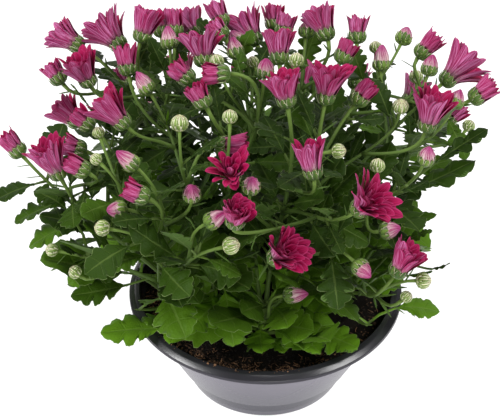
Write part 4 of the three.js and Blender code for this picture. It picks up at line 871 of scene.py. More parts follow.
def makeBowl():
    # foot, undercut band, crisp edge, flared wall, turned-over lip with a skirt, and the inner flare
    v = bowlValues
    height, lip, wall, foot, floor = v["height"], v["lipRadius"], v["wall"], v["foot"], v["floor"]
    bandZ, topZ, edgeZ = v["bandTop"][1], v["wallTop"][1], v["edge"]
    skirtZ, lipZ = height - v["skirt"], height - v["fall"]
    outer, under, middle = bowlRadius(edgeZ), lip - v["lip"], 0.5

    def inner(z):
        return bowlRadius(z) - wall

    # the profile's corners, by radius, height and rounding: up the outside, over the lip, down the inside
    corners = [
        (middle, 0), (foot - 1, 0, 0.6), (foot + 0.4, 2.4, 0.6), (outer - 1.3, edgeZ - 1, 0.2),
        (outer + 0.1, edgeZ, 0.4), (v["wallTop"][0], topZ - 1, 2), (under, lipZ - 1, 0.5),
        (under, skirtZ, 0.35), (lip, skirtZ, 0.35), (lip, lipZ, 0.6), (*v["shoulder"], 1.0),
        (v["flange"], height, 0.8), (v["flange"] - 1.2, topZ - 1, 1.5), (inner(topZ - 6), topZ - 6, 2),
        (inner(bandZ), bandZ, 2), (foot - wall - 0.5, floor, 2), (middle, floor),
    ]
    profile = [np.array([corners[0]])]
    for before, corner, after in zip(corners, corners[1:], corners[2:]):
        profile.append(arcCorner(before[:2], corner[:2], after[:2], corner[2]))
    profile = np.concatenate(profile + [np.array([corners[-1]])])
    rings = turnedRings(profile, v["around"])
    part = tubeSet(rings, start=np.array([[0, 0, 0.0]]), end=np.array([[0, 0, float(floor)]]))
    bowl = pieceFrom("bowlShell", [(part, wallReflectionFinish)], "bowl", "bowl")
    # the outer wall, paler with a painted reflection, lies between the band's edge and the lip, outside the
    # wall's middle
    mesh = bowl.data
    mesh.materials.append(lipShadeFinish)
    mesh.materials.append(bandShadeFinish)
    centres = np.empty(len(mesh.polygons) * 3, np.float32)
    mesh.polygons.foreach_get("center", centres)
    centres = centres.reshape(-1, 3) / millimetre
    radius, z = np.hypot(centres[:, 0], centres[:, 1]), centres[:, 2]
    onWall = (z > edgeZ - 0.3) & (z < lipZ) & (radius > inner(z) + wall * 0.5) & (radius < under + 0.2)
    # the band and the lip's skirt take the matt copy, darker with painted shade
    onBand = ((z < edgeZ - 0.3) & (radius > inner(z) + wall * 0.3)) | ((radius > lip - 0.5) & (z < lipZ - 0.4))
    mesh.polygons.foreach_set("material_index", np.where(onWall, 0, np.where(onBand, 2, 1)).astype(np.int32))


makeBowl()
print("bowl made")


soilLook = {
    "rings": 64, "around": 176, "lump": 1.5, "sunk": 0.6, "seed": 7,
    "gathered": 0.6, "gatheredAt": 235,  # share of what lies on the bed that is heaped at this bearing
    "crumbs": 2000, "crumbSize": (0.35, 1.0), "crumbReach": 99,
    "spilt": 70, "spiltBearing": (205, 285), "spiltRadius": (105, 109.5), "spiltSize": 0.6,
    "fibres": 420, "fibreLength": (1.5, 6.5), "fibreRadius": (0.16, 0.42), "fibreReach": 101, "fibreLimit": 103,
}


def smoothNoise(x, y, seed, scale):
    # a sum of eight crossed waves of about one wavelength, mostly between -1 and 1
    rng = np.random.default_rng(seed)
    total = 0
    for _ in range(8):
        angle, phase, stretch = rng.uniform(0, 2 * math.pi), rng.uniform(0, 2 * math.pi), rng.uniform(0.7, 1.4)
        along = x * math.cos(angle) + y * math.sin(angle)
        total = total + np.sin(along * 2 * math.pi * stretch / scale + phase)
    return total / 4


def soilSurface(x, y):
    # the frame's mound with two sizes of lump on it, sunk a little below the frame's own surface
    lumps = soilLook["lump"] * (smoothNoise(x, y, 3, 17) * 0.5 + smoothNoise(x, y, 4, 6) * 0.35)
    return soilHeight(x, y) + lumps - soilLook["sunk"]


def scattered(count, reach, rng):
    # places on the bed, three in five of them heaped towards the front left edge
    radius = reach * np.sqrt(rng.uniform(0, 1, count))
    bearing = rng.uniform(0, 2 * math.pi, count)
    gathered = rng.uniform(0, 1, count) < soilLook["gathered"]
    bearing = np.where(gathered, math.radians(soilLook["gatheredAt"]) + rng.normal(0, 0.9, count), bearing)
    radius = np.where(gathered, reach - np.abs(rng.normal(0, reach * 0.12, count)), radius)
    return radius * np.cos(bearing), radius * np.sin(bearing)


def soilInside(z):
    # the soil's radius at a height: the bowl's inner wall less the gap
    return bowlRadius(z) - bowlValues["wall"] - bowlValues["gap"]


def bedPart():
    # rings up the bowl's inside, then rings over the surface, closer together towards the edge
    v, w = soilLook, bowlValues
    edgeZ, bandZ, bottom = soilValues["edgeHeight"], w["bandTop"][1], w["floor"] + w["gap"]
    edge = soilInside(edgeZ - 1)
    angles = np.arange(v["around"]) * 2 * math.pi / v["around"]
    outer = [(0.5, bottom), (w["foot"] - w["wall"] - 1, bottom), (soilInside(bandZ), bandZ), (edge, edgeZ - 1)]
    rings = [np.stack([r * np.cos(angles), r * np.sin(angles), z + 0 * angles], -1) for r, z in outer]
    for radius in np.linspace(1, 0.01, v["rings"]) ** 0.8 * edge:
        x, y = radius * np.cos(angles), radius * np.sin(angles)
        blend = np.clip((edge - radius) / 4, 0, 1)
        rings.append(np.stack([x, y, (edgeZ - v["sunk"]) * (1 - blend) + soilSurface(x, y) * blend], -1))
    top = np.array([[0, 0, float(soilSurface(np.array(0.0), np.array(0.0)))]])
    return tubeSet(np.array(rings)[None], start=np.array([[0, 0, bottom]]), end=top)


def crumbPart(rng):
    # crumbs: tubes of three small rings, each corner moved at random, and some spilt on the lip
    v, count = soilLook, soilLook["crumbs"]
    x, y = scattered(count, v["crumbReach"], rng)
    size = rng.uniform(*v["crumbSize"], count) * np.where(rng.uniform(0, 1, count) < 0.06, 1.8, 1)
    ground = soilSurface(x, y)
    spilt = np.arange(count) < v["spilt"]
    bearing, out = np.radians(rng.uniform(*v["spiltBearing"], count)), rng.uniform(*v["spiltRadius"], count)
    x, y = np.where(spilt, out * np.cos(bearing), x), np.where(spilt, out * np.sin(bearing), y)
    ground = np.where(spilt, bowlValues["height"] + 0.1, ground)
    size = np.where(spilt, size * v["spiltSize"], size)
    centre = np.stack([x, y, ground + size * 0.15], -1)
    around, heights, wide = 6, np.array([-0.55, 0.1, 0.62]), np.array([0.7, 1.0, 0.6])
    turn = np.arange(around) * 2 * math.pi / around
    wide, heights = wide[:, None], heights[:, None] + 0 * turn
    unitRings = np.stack([wide * np.cos(turn), wide * np.sin(turn), heights], -1)[None]
    rough = unitRings * rng.uniform(0.65, 1.3, (count, 3, around, 1))
    rough = rough + rng.normal(0, 0.1, (count, 3, around, 3))
    tone = rng.uniform(0, 1, count) ** 2 * np.clip((np.hypot(x, y) - 82) / 14, 0.02, 1)  # paler near the edge
    return tubeSet(centre[:, None, None] + rough * size[:, None, None, None], tone)


def fibrePart(rng):
    # fibres: three-sided threads bent like a shallow bow, that lie nearly flat
    v, count = soilLook, soilLook["fibres"]
    x, y = scattered(count, v["fibreReach"], rng)
    long, thick = rng.uniform(*v["fibreLength"], count), rng.uniform(*v["fibreRadius"], count)
    way, lift = rng.uniform(0, 2 * math.pi, count), rng.normal(0.12, 0.22, count)
    along = np.stack([np.cos(way) * np.cos(lift), np.sin(way) * np.cos(lift), np.sin(lift)], -1)
    across = np.stack([-np.sin(way), np.cos(way), 0 * way], -1)
    centre = np.stack([x, y, soilSurface(x, y) + 0.5 + rng.uniform(0, 0.9, count)], -1)
    bend = rng.uniform(-0.25, 0.25, count)
    rows, turn = np.linspace(-0.5, 0.5, 4), np.arange(3) * 2 * math.pi / 3
    line = (centre[:, None] + along[:, None] * (rows[None, :, None] * long[:, None, None])
            + across[:, None] * (bend * long)[:, None, None] * (rows**2)[None, :, None] * 4)
    up = np.cross(along, across)
    thread = (np.cos(turn)[None, None, :, None] * across[:, None, None]
              + np.sin(turn)[None, None, :, None] * up[:, None, None]) * thick[:, None, None, None]
    keep = np.linalg.norm(line[:, :, :2], axis=-1).max(1) < v["fibreLimit"]
    line[:, :, 2] = np.maximum(line[:, :, 2], soilSurface(line[:, :, 0], line[:, :, 1]))
    return tubeSet((line[:, :, None] + thread)[keep], rng.uniform(0, 1, count)[keep] ** 1.5)


def makeSoil():
    # the bed fills the bowl; crumbs and fibres lie on it, thicker along its front and left edge
    rng = np.random.default_rng(soilLook["seed"])
    parts = [(bedPart(), soilFinish), (crumbPart(rng), fibreFinish), (fibrePart(rng), fibreFinish)]
    pieceFrom("soilBed", parts, "soil", "soil")


makeSoil()
print("soil made")


stemLook = {
    "around": 8, "stepLength": 6.0, "rib": 0.06, "thick": 0.72, "slimStalk": 0.8,
    "forkFlare": 0.7, "neckFlare": 0.5,
    "deepTone": 0.12, "lowTone": 0.3, "stalkTone": 0.78,  # a stem is paler low down and towards a flower
    "bractEvery": 24, "bractLength": (7, 15), "bractsMost": 4,
}


def stemLine(stem):
    # the fine centre line of a stem, on the same cubic as the frame's, or along its straight stretches
    if stem["course"] is None:
        path = stem["path"]
        parts = [np.linspace(a, b, 4)[:-1] for a, b in zip(path, path[1:])]
        return np.concatenate(parts + [path[-1:]])
    span = lengthOf(stem["course"][2] - stem["course"][0])
    return curve(*stem["course"], max(6, int(span / stemLook["stepLength"])))


def stemTube(stem):
    # round sections whose radius goes from the frame's first to its last, flared at the fork and below
    # a flower, with every other corner a little raised as a rib
    v = stemLook
    stage = stem["head"]["stage"] if stem["head"] else "main"
    isStalk = stage not in ("main", "shoot")
    line = stemLine(stem)
    share = np.linspace(0, 1, len(line))
    radii = np.interp(share, np.linspace(0, 1, len(stem["radii"])), stem["radii"]) * v["thick"]
    if stage in ("bud", "tip"):
        radii = radii * np.linspace(1, v["slimStalk"], len(line))
    gone = np.concatenate([[0], np.cumsum(np.linalg.norm(np.diff(line, axis=0), axis=1))])
    left = gone[-1] - gone
    if stem["course"] is not None:
        radii = radii + v["forkFlare"] * np.exp(-gone / 5)
    if isStalk:
        radii = radii + v["neckFlare"] * np.exp(-left / 4)
    if stage == "shoot":
        radii = radii * np.interp(left, [0, 12], [0.5, 1])
    rings = sections(line, radii, v["around"])
    ribs = (1 + v["rib"] * (-1.0) ** np.arange(v["around"]))[None, :, None]
    rings = line[:, None] + (rings - line[:, None]) * ribs
    tone = v["deepTone"] + v["lowTone"] * np.clip((170 - line[:, 2]) / 70, 0, 1)
    tone = np.maximum(tone, v["deepTone"] + v["stalkTone"] * np.exp(-left / 30) * isStalk)
    end = line[-1:] + stem["head"]["way"] * 4 if stage == "shoot" else line[-1:]
    part = tubeSet(rings[None], end=end)
    part["tone"] = np.concatenate([np.repeat(tone, v["around"]), tone[:1], tone[-1:]])
    return part


leafLook = {
    "notches": [(0.41, 0.034, 0.50), (0.665, 0.030, 0.46), (0.85, 0.024, 0.28)],  # place, width, depth
    "broad": 0.43, "narrow": 0.35, "petioleRadius": 1.2, "thickness": 0.5, "quilt": 0.7, "curl": 0.18,
    "waves": 2.6, "slimFrom": [170, 250], "slimTop": 0.74,  # leaves get slimmer between these heights
}
leafGrids = {  # places along and across the blade, coarser for the many leaves that fill the crown
    "fine": {
        "rows": [0, 0.07, 0.14, 0.20, 0.25, 0.29, 0.325, 0.355, 0.385, 0.41, 0.435, 0.47, 0.51, 0.55,
                 0.585, 0.615, 0.64, 0.665, 0.69, 0.725, 0.765, 0.80, 0.83, 0.855, 0.885, 0.92, 0.96, 1],
        "columns": [-1, -0.62, -0.3, 0, 0.3, 0.62, 1, 0.6, 0, -0.6], "topColumns": 7, "petioleRows": 3,
        "tooth": 0.012, "wave": 1.5,
    },
    "plain": {
        "rows": [0, 0.14, 0.27, 0.36, 0.405, 0.45, 0.56, 0.625, 0.665, 0.71, 0.8, 0.85, 0.91, 1],
        "columns": [-1, -0.5, 0, 0.5, 1, 0], "topColumns": 5, "petioleRows": 2, "tooth": 0, "wave": 0.6,
    },
}


def leafHalfWidth(v, broad, depth, shift, tooth):
    # one side of the outline: an egg shape that is widest past its middle and rounded at its tip, cut
    # by three notches into lobes that point forward, with small teeth between
    w = leafLook
    egg = np.clip(np.sin(math.pi * v**1.3), 0, 1) ** (1 - 0.35 * v)
    for place, wide, deep in w["notches"]:
        away = v - place - shift
        egg = egg * (1 - deep * depth * np.exp(-((away / np.where(away < 0, wide * 0.65, wide * 1.6)) ** 2)))
    teeth = tooth * (-1.0) ** np.arange(v.shape[1])[None, :, None] * np.clip(v * 4, 0, 1) * (1 - v) * 2
    return np.where(broad, w["broad"], w["narrow"]) * egg + teeth + 0.012


def leafTubes(leaves, grid, rng):
    # Each leaf is one closed tube of sections: round ones up the petiole, then flat ones that run
    # from the left edge over the midrib to the right edge and back below. A point of the blade
    # lies between the midrib at its vein's start and the edge; it is lifted by the fold, the quilting
    # between the veins and the waves of the margin.
    v, count = {**leafLook, **leafGrids[grid]}, len(leaves)

    def take(key):
        return np.array([leaf[key] for leaf in leaves], float)[:, None, None]

    root, shoulder, tip = take("root"), take("shoulder"), take("tip")
    roll, petiole, skew, slim = take("roll"), take("petiole"), take("skew"), take("slim")
    slim = slim * np.interp(root[..., 2], v["slimFrom"], [1, v["slimTop"]])

    def along(t):
        start, middle, end = (1 - t) ** 2, 2 * t * (1 - t), t * t
        return root * start[..., None] + shoulder * middle[..., None] + tip * end[..., None]

    def frameAt(t):
        forward = unit(along(np.minimum(t + 0.05, 1)) - along(np.maximum(t - 0.05, 0)))
        level = np.cross(tip - root, [0, 0, 1.0])
        flat = unit(level - forward * (forward * level).sum(-1, keepdims=True))
        side = flat * np.cos(roll)[..., None] + np.cross(flat, forward) * np.sin(roll)[..., None]
        return side, np.cross(side, forward)

    neck = along(petiole)
    span = np.sqrt(((tip - neck) ** 2).sum(-1))
    across = np.array(v["columns"])[None, None, :]
    under = (np.arange(across.shape[2]) >= v["topColumns"])[None, None, :] * 1.0
    off, hand = np.abs(across), np.sign(across)
    isBroad = span > leafValues["lobedSpan"]
    up = np.array(v["rows"])[None, :, None]
    depth = rng.uniform(0.45, 1.15, (count, 1, 1)) * np.where(isBroad, 1, 1.35) * (1 + 1.1 * (1 - slim))
    shift = rng.normal(0, 0.012, (count, 1, 1)) + across * rng.normal(0, 0.014, (count, 1, 1))
    half = leafHalfWidth(up, isBroad, depth, shift, v["tooth"]) * slim
    vein = up * (0.36 + 0.62 * up)
    drawn = hand * skew * 0.05 * off * np.sin(math.pi * up)
    t = petiole + (1 - petiole) * np.clip(vein + (up - vein) * off + drawn, 0, 1)
    width = half * off * span * leafValues["width"] * (1 + hand * skew * 0.2)
    side, face = frameAt(t)
    phase, sway = rng.uniform(0, 2 * math.pi, (count, 1, 1)), rng.uniform(0.3, 1.3, (count, 1, 1))
    small = span / 50
    lift = width * leafValues["fold"] * rng.uniform(0.4, 1.5, (count, 1, 1))
    between = 0.5 - 0.5 * np.cos(2 * math.pi * (up - leafValues["veinFirst"]) / leafValues["veinEvery"])
    lift = lift + v["quilt"] * small * 4 * off * (1 - off) * between
    lift = lift + v["wave"] * small * sway * off**2 * np.sin(2 * math.pi * v["waves"] * up + phase + hand)
    lift = lift - v["curl"] * rng.uniform(0.2, 1.8, (count, 1, 1)) * width * off**3
    rib = np.exp(-(off / 0.12) ** 2) * (1 - up)
    thick = v["thickness"] * (1 - off * off) + 1.2 * np.exp(-up / 0.05) * (1 - off)
    lift = lift + np.where(under > 0, -thick / 2 - 0.7 * rib, thick / 2 - 0.35 * rib)
    blade = along(t) + side * (hand * width)[..., None] + face * lift[..., None]
    # petiole: round sections, whose corners match the blade's
    angle = math.pi / 2 * (1 - across) * np.where(under > 0, -1, 1)
    share = np.linspace(-0.12, 0.9, v["petioleRows"])[None, :, None]  # its root is sunk into the stem
    petioleAt = np.broadcast_to(petiole * share, (count, v["petioleRows"], across.shape[2]))
    side, face = frameAt(petioleAt)
    size = v["petioleRadius"] * (1.2 - 0.4 * share)
    stalk = (along(petioleAt) + side * (size * np.cos(angle))[..., None]
             + face * (size * 0.8 * np.sin(angle))[..., None])
    rings = np.concatenate([stalk, blade], 1)
    bladeUv = np.stack(np.broadcast_arrays((across + 1) / 2, up), -1)
    stalkUv = np.stack(np.broadcast_arrays(0 * across + 0.5, 0 * share), -1)
    rim = (np.arange(rings.shape[1]) >= v["petioleRows"])[None, :, None] & (off == 1)
    uv, end = np.concatenate([stalkUv, bladeUv], 1), along(np.ones((count, 1, 1)))[:, 0, 0]
    flags = np.broadcast_to(under, rings.shape[:3])
    return tubeSet(rings, take("tone"), side=flags, uv=uv, end=end, rim=rim)


extraValues = {
    "total": 430, "thinning": 0.97, "seed": 23, "places": [0.5, 0.15, 0.85],  # places along a stretch of stem
    "tries": [(64, 1.0), (46, 0.85), (84, 0.8), (60, 0.62)],  # opening from the stem and share of the length
    "clear": 3.9, "stemClear": 3.4, "headClear": 2.5, "sideClear": 2, "boxClear": 2, "soilClear": 4,
    "calyxClear": 24, "nearby": 60,
    # over the bowl's inside a leaf stays above the soil, over its lip above lipZ, and beside it above lowZ
    "insideRadius": 92, "besideRadius": 119, "lipZ": 94.0, "lowZ": 84,
    # stretches of the bowl's lip that stay in view: bearings from and to, radii from and to
    "openLip": [(168, 199, 97, 130), (196, 219, 128, 270), (216, 356, 95, 270), (238, 266, 64, 97)],
    # the crown's sides seen from the front: height over the bowl's middle, left and right edge
    "sides": [(60, -110, 108), (75, -138, 112), (88, -158, 118), (100, -172, 150), (114, -185, 154),
              (127, -187, 149), (146, -160, 135), (164, -184, 136), (180, -187, 138), (200, -186, 140),
              (220, -167, 162), (245, -163, 174), (282, -161, 146), (315, -132, 121), (342, -125, 108),
              (370, -118, 99)],
}


def overLip(points):
    # where each point stands before the lip's plane when it is seen from the camera
    eye = np.array(sceneValues["camera"]) / millimetre
    share = (eye[2] - bowlValues["height"]) / (eye[2] - points[:, 2])
    return eye + (points - eye) * share[:, None]


def outOfCrown(points):
    # whether the leaf reaches past the crown's sides, seen from the camera on the upright middle plane
    eye = np.array(sceneValues["camera"]) / millimetre
    seen = eye + (points - eye) * (eye[1] / (eye[1] - points[:, 1]))[:, None]
    height, left, right = np.array(extraValues["sides"], float).T
    leftmost = np.interp(seen[:, 2], height, left) + extraValues["sideClear"]
    rightmost = np.interp(seen[:, 2], height, right) - extraValues["sideClear"]
    return ((seen[:, 0] < leftmost) | (seen[:, 0] > rightmost)).any()


def hidesLip(points):
    # whether the leaf stands before a stretch of the lip that stays in view
    place = overLip(points)
    radius, bearing = np.hypot(place[:, 0], place[:, 1]), np.degrees(np.arctan2(place[:, 1], place[:, 0])) % 360
    return any(((bearing > a) & (bearing < b) & (radius > low) & (radius < high)).any()
               for a, b, low, high in extraValues["openLip"])


def leafSamples(leaf):
    # points over the petiole and blade, about 8 mm apart
    t = np.array([0.12, 0.3, 0.45, 0.6, 0.75, 0.88, 1.0])[:, None]
    middle = leafAlong(leaf, t)
    forward = unit(leaf["tip"] - leaf["root"])
    side = unit(np.cross(forward, [0, 0, 1.0]))
    span = lengthOf(leaf["tip"] - leaf["root"]) * 0.78
    up = np.cross(side, forward)
    wide = np.array([0.28, 0.36, 0.33, 0.17])[:, None] * span * 0.9
    centre = leafAlong(leaf, np.array([0.5, 0.62, 0.75, 0.88])[:, None])
    edges = [centre + k * wide * side + abs(k) * wide * 0.2 * up for k in (-1, -0.5, 0.5, 1)]
    return np.concatenate([middle] + edges)


calyxHeight = 9.0  # from the foot of a calyx to where its petals stand


def headSpheres(head):
    # what a head fills: middles and radii
    def at(distance):
        return head["foot"] + head["way"] * distance

    if head["stage"] == "shoot":
        return [(at(3), 3)]
    if head["stage"] == "bud":
        return [(at(head["reach"] * 0.55), head["reach"] * 0.6)]
    if head["stage"] == "tip":
        return [(at(6), 7.4), (at(head["reach"] * 0.7), 5)]
    petal, spread = head["reach"] - calyxHeight, math.radians(head["spread"])
    rise, wide = math.cos(spread) * petal, math.sin(spread) * petal
    return [(at(5), 7.4), (at(calyxHeight + rise * 0.35), 8.7 + wide * 0.4),
            (at(calyxHeight + rise * 0.8), 7.2 + wide * 0.85)]


def growExtraLeaves():
    # fills the crown with more leaves: each stretch of stem tries its faces, and a leaf stays if it is
    # clear of every stem, head and other leaf, the soil and the bowl, and inside the frame's box
    v = extraValues
    rng = np.random.default_rng(v["seed"])
    stemPoints, stemIds = [], []
    allStems = [(name, stem) for name, stems in stemsOf.items() for stem in stems]
    for k, (name, stem) in enumerate(allStems):
        line = curve(*stem["course"], 14) if stem["course"] is not None else stemLine(stem)
        stemPoints.append(line)
        stemIds.append(np.full(len(line), k))
    stemPoints, stemIds = np.concatenate(stemPoints), np.concatenate(stemIds)
    spheres = [pair for head in everyHead for pair in headSpheres(head)]
    centres, radii = np.array([pair[0] for pair in spheres]), np.array([pair[1] for pair in spheres])
    takenPoints = np.concatenate([leafSamples(leaf) for leaves in leavesOf.values() for leaf in leaves])
    low = np.array(cadBox[0]) / millimetre + v["boxClear"]
    high = np.array(cadBox[1]) / millimetre - v["boxClear"]

    def stands(points, k):
        if (points < low).any() or (points > high).any() or hidesLip(points) or outOfCrown(points):
            return False
        reach = np.hypot(points[:, 0], points[:, 1])
        overSoil = soilHeight(points[:, 0], points[:, 1]) + v["soilClear"]
        ground = np.where(reach < v["insideRadius"], overSoil, v["lipZ"])
        if (points[:, 2] < np.where(reach < v["besideRadius"], ground, v["lowZ"])).any():
            return False
        if (np.sqrt(((points[:, None] - centres) ** 2).sum(-1)) - radii).min() < v["headClear"]:
            return False
        near = np.abs(stemPoints - points.mean(0)).max(1) < v["nearby"]
        away = np.sqrt(((points[:, None] - stemPoints[near]) ** 2).sum(-1))
        own = (stemIds[near] == k)[None, :] & (np.arange(len(points)) < 2)[:, None]  # its foot on its own stem
        if np.where(own, 99, away).min() < v["stemClear"]:
            return False
        near = np.abs(takenPoints - points.mean(0)).max(1) < v["nearby"]
        away = np.sqrt(((points[:, None] - takenPoints[near]) ** 2).sum(-1))
        return not near.any() or away.min() > v["clear"]

    made = 0
    for place in v["places"]:
        for k, (name, stem) in enumerate(allStems):
            for segment in range(1, len(stem["path"]) - 1):
                stretch = stem["path"][segment + 1] - stem["path"][segment]
                middle = stem["path"][segment] + stretch * place
                head = stem["head"]
                isStalk = head is not None and head["stage"] != "shoot"
                if isStalk and lengthOf(middle - head["foot"]) < v["calyxClear"]:
                    continue
                up = highUp(middle[2])
                for face in rng.permutation(stem["sides"]):
                    size = leafValues["lowLength"] * (1 - up) + leafValues["highLength"] * up
                    size = size * rng.uniform(0.85, 1.2)
                    tilt, skew, sway = rng.uniform(-0.6, 1.6), rng.uniform(-1, 1), rng.uniform(-0.3, 0.3)
                    if rng.uniform(0, 1) > 1 - v["thinning"] * min(1, up * 1.25) ** 1.5:
                        continue  # fewer leaves high up
                    for opening, shrink in v["tries"]:
                        leaf = leafFrom(stem, segment, int(face), unit(stretch), size, up, tilt, skew, opening,
                                        shrink)
                        for key in ("root", "shoulder", "tip"):
                            leaf[key] = leaf[key] + stretch * (place - 0.5)
                        lead = leaf["tip"] - leaf["root"]
                        aside = np.cross(lead, [0, 0, 1.0])
                        leaf["tip"] = leaf["tip"] + aside * sway + [0, 0, abs(sway) * lengthOf(lead) * 0.5]
                        points = leafSamples(leaf)
                        if made < v["total"] and stands(points, k):
                            leavesOf[name].append({**leaf, "grid": "plain"})
                            takenPoints = np.concatenate([takenPoints, points])
                            made += 1
                            break


growExtraLeaves()
leafRng = np.random.default_rng(5)
for leaves in leavesOf.values():
    for leaf in leaves:
        # leaves low at the rim are the lighter ones, and those high up are darker with painted shade
        middle = (leaf["root"] + leaf["tip"]) / 2
        low, top = np.clip((175 - middle[2]) / 70, 0, 1), np.clip((middle[2] - 190) / 60, 0, 1)
        leaf["tone"] = float(np.clip(0.15 + leafRng.normal(0, 0.15) + 0.8 * low - 0.12 * top, 0, 1))
print("leaves:", sum(map(len, leavesOf.values())))


headLook = {
    "around": 16, "bractRows": 4, "cupScale": 0.94, "budScale": 0.95, "budTop": 0.985,
    # rows of bracts on a cup and on a bud: count, foot and tip as shares of its height, width
    "cupBracts": [(7, 0.0, 0.46, 4.6), (9, 0.1, 0.82, 4.8), (10, 0.3, 1.14, 4.6)],
    "budBracts": [(8, 0.0, 0.5, 4.2), (9, 0.14, 0.82, 4.2), (9, 0.34, 0.985, 3.8)],
    "furledFoot": 5.5, "furledAround": 32, "furledRows": 12, "furledRidges": 4,
    "furledRadii": ([0, 0.25, 0.55, 0.8, 0.93, 1], [6.0, 6.1, 5.1, 3.1, 1.7, 0.7]),  # shares of height, radii
}


def headFrame(head):
    # a head's foot and three directions: to the side, across and up its axis
    side = levelSide(head["way"])
    return head["foot"], side, np.cross(head["way"], side), head["way"]


def headProfile(head):
    # distance from the foot and radius, for the green cup or the closed bud
    if head["stage"] == "bud":
        k = head["reach"] / 12
        return np.array([(0, 2.0), (0.8 * k, 4.0 * k), (2.4 * k, 5.4 * k), (4.6 * k, 6.0 * k),
                         (6.8 * k, 5.9 * k), (8.8 * k, 5.0 * k), (10.4 * k, 3.5 * k), (11.5 * k, 1.6 * k),
                         (12 * k, 0.3)])
    if head["stage"] == "tip":
        return np.array([(0, 2.0), (0.8, 4.2), (2.2, 5.8), (4.2, 6.7), (6.4, 6.8), (8.2, 6.2)])
    return np.array([(0, 2.0), (0.7, 4.2), (1.9, 5.8), (3.8, 6.9), (6.2, 7.4), (8.9, 7.3)])


def aroundHead(head, angle, radius, height):
    # a point at a bearing round the head's axis
    foot, side, across, way = headFrame(head)
    outward = np.cos(angle)[..., None] * side + np.sin(angle)[..., None] * across
    return foot + outward * np.asarray(radius)[..., None] + way * np.asarray(height)[..., None]


def cupPart(head):
    # the solid under the bracts: its profile turned round the head's axis
    profile = headProfile(head)
    turn = np.arange(headLook["around"]) * 2 * math.pi / headLook["around"]
    angle = np.broadcast_to(turn, (len(profile), len(turn)))
    scale = headLook["budScale" if head["stage"] == "bud" else "cupScale"]
    height, radius = profile.T[:, :, None]
    rings = aroundHead(head, angle, radius * scale + 0 * angle, height + 0 * angle)
    return tubeSet(rings[None], 0.3)


def bractPart(head, rng):
    # rows of scales that follow the cup, each a thin closed blade a little proud of it
    profile = headProfile(head)
    top, isBud = profile[-1, 0], head["stage"] == "bud"
    k = head["reach"] / 12 if isBud else 1.0
    # painted shade: the bracts under an open flower are darker
    paintedShade = 1.0 if head["stage"] in ("bud", "tip") else 0.5  # darker under an open flower
    parts = []
    for row, (count, low, high, wide) in enumerate(headLook["budBracts" if isBud else "cupBracts"]):
        bearing = (np.arange(count) + 0.5 * row + rng.uniform(-0.1, 0.1, count)) * 2 * math.pi / count
        s = np.linspace(0, 1, headLook["bractRows"] + 1)[None, :, None]
        end = high * rng.uniform(0.93, 1.05, (count, 1, 1))
        if isBud:
            end = np.minimum(end, headLook["budTop"])
        height = (low + (end - low) * s) * top
        radius = np.interp(height, profile[:, 0], profile[:, 1]) + 0.1 + 0.14 * row + 0.35 * s**3
        half = wide * k / 2 * np.interp(s, [0, 0.4, 0.75, 1], [0.85, 1.0, 0.72, 0.1])
        c = np.array([-1, 0, 1, 0.0])[None, None, :]
        angle = bearing[:, None, None] + c * np.arctan2(half, np.maximum(radius, 0.6))
        place = radius + np.array([-0.12, 0.3, -0.12, -0.2])[None, None, :] * (1 - 0.6 * s)
        angle, height = np.broadcast_to(angle, place.shape), np.broadcast_to(height, place.shape)
        rings = aroundHead(head, angle, place, height)
        uv = np.stack(np.broadcast_arrays((c + 1) / 2, s), -1)
        tone, flag = rng.uniform(0.1, 0.9, count) * paintedShade, np.full(rings.shape[:3], 1.0 * isBud)
        parts.append(tubeSet(rings, tone, side=flag, uv=uv))
    return parts


def furledPart(head, rng):
    # the cone of unopened petals: a pointed surface of revolution with twisted ridges
    v = headLook
    reach, low, around, ridges = head["reach"], v["furledFoot"], v["furledAround"], v["furledRidges"]
    s = np.linspace(0, 1, v["furledRows"])[:, None]
    turn = (np.arange(around) * 2 * math.pi / around)[None, :]
    twisted = ridges * (turn + 0.7 * s * rng.uniform(0.5, 1.3))
    ridge = np.abs(np.sin(twisted))
    radius = np.interp(s, *v["furledRadii"]) * (0.8 + 0.28 * ridge)
    uneven = np.repeat(rng.uniform(-0.1, 0.06, 2 * ridges), around // (2 * ridges))[None, :]
    jag = uneven * np.clip((s - 0.3) / 0.7, 0, 1) * np.clip(ridge * 1.6, 0, 1)
    height = low + (reach - low) * np.clip(s + jag, 0, 1)
    rings = aroundHead(head, turn + 0 * s, radius, height)
    uv = np.stack(np.broadcast_arrays(0.5 + 0.4 * np.sin(twisted), 0.02 + 0.5 * s), -1)[None]
    return tubeSet(rings[None], rng.uniform(0, 0.3), side=np.ones((1, *rings.shape[:2])), uv=uv,
                   end=(head["foot"] + head["way"] * reach)[None])


def stemBracts(stem, rng):
    # small narrow leaves that stand singly on the upper stems: root, direction, outward side, length
    head, v, steps = stem["head"], stemLook, 40
    if head is None or stem["course"] is None or head["stage"] == "shoot":
        return []
    line = curve(*stem["course"], steps)
    gone = np.concatenate([[0], np.cumsum(np.linalg.norm(np.diff(line, axis=0), axis=1))])
    places = np.arange(gone[-1] - 9, 18, -v["bractEvery"] * rng.uniform(0.6, 1.0))
    leaves = []
    for place in places[:v["bractsMost"]]:
        k = int(np.searchsorted(gone, place))
        way = unit(line[min(k + 1, steps)] - line[k - 1])
        side = levelSide(way)
        turn = rng.uniform(0, 2 * math.pi)
        outward = side * math.cos(turn) + np.cross(way, side) * math.sin(turn)
        long = rng.uniform(*v["bractLength"])
        reach = unit(way * rng.uniform(0.6, 1.1) + outward)
        leaves.append((line[k] + outward * 0.8, reach, outward, long))
    return leaves


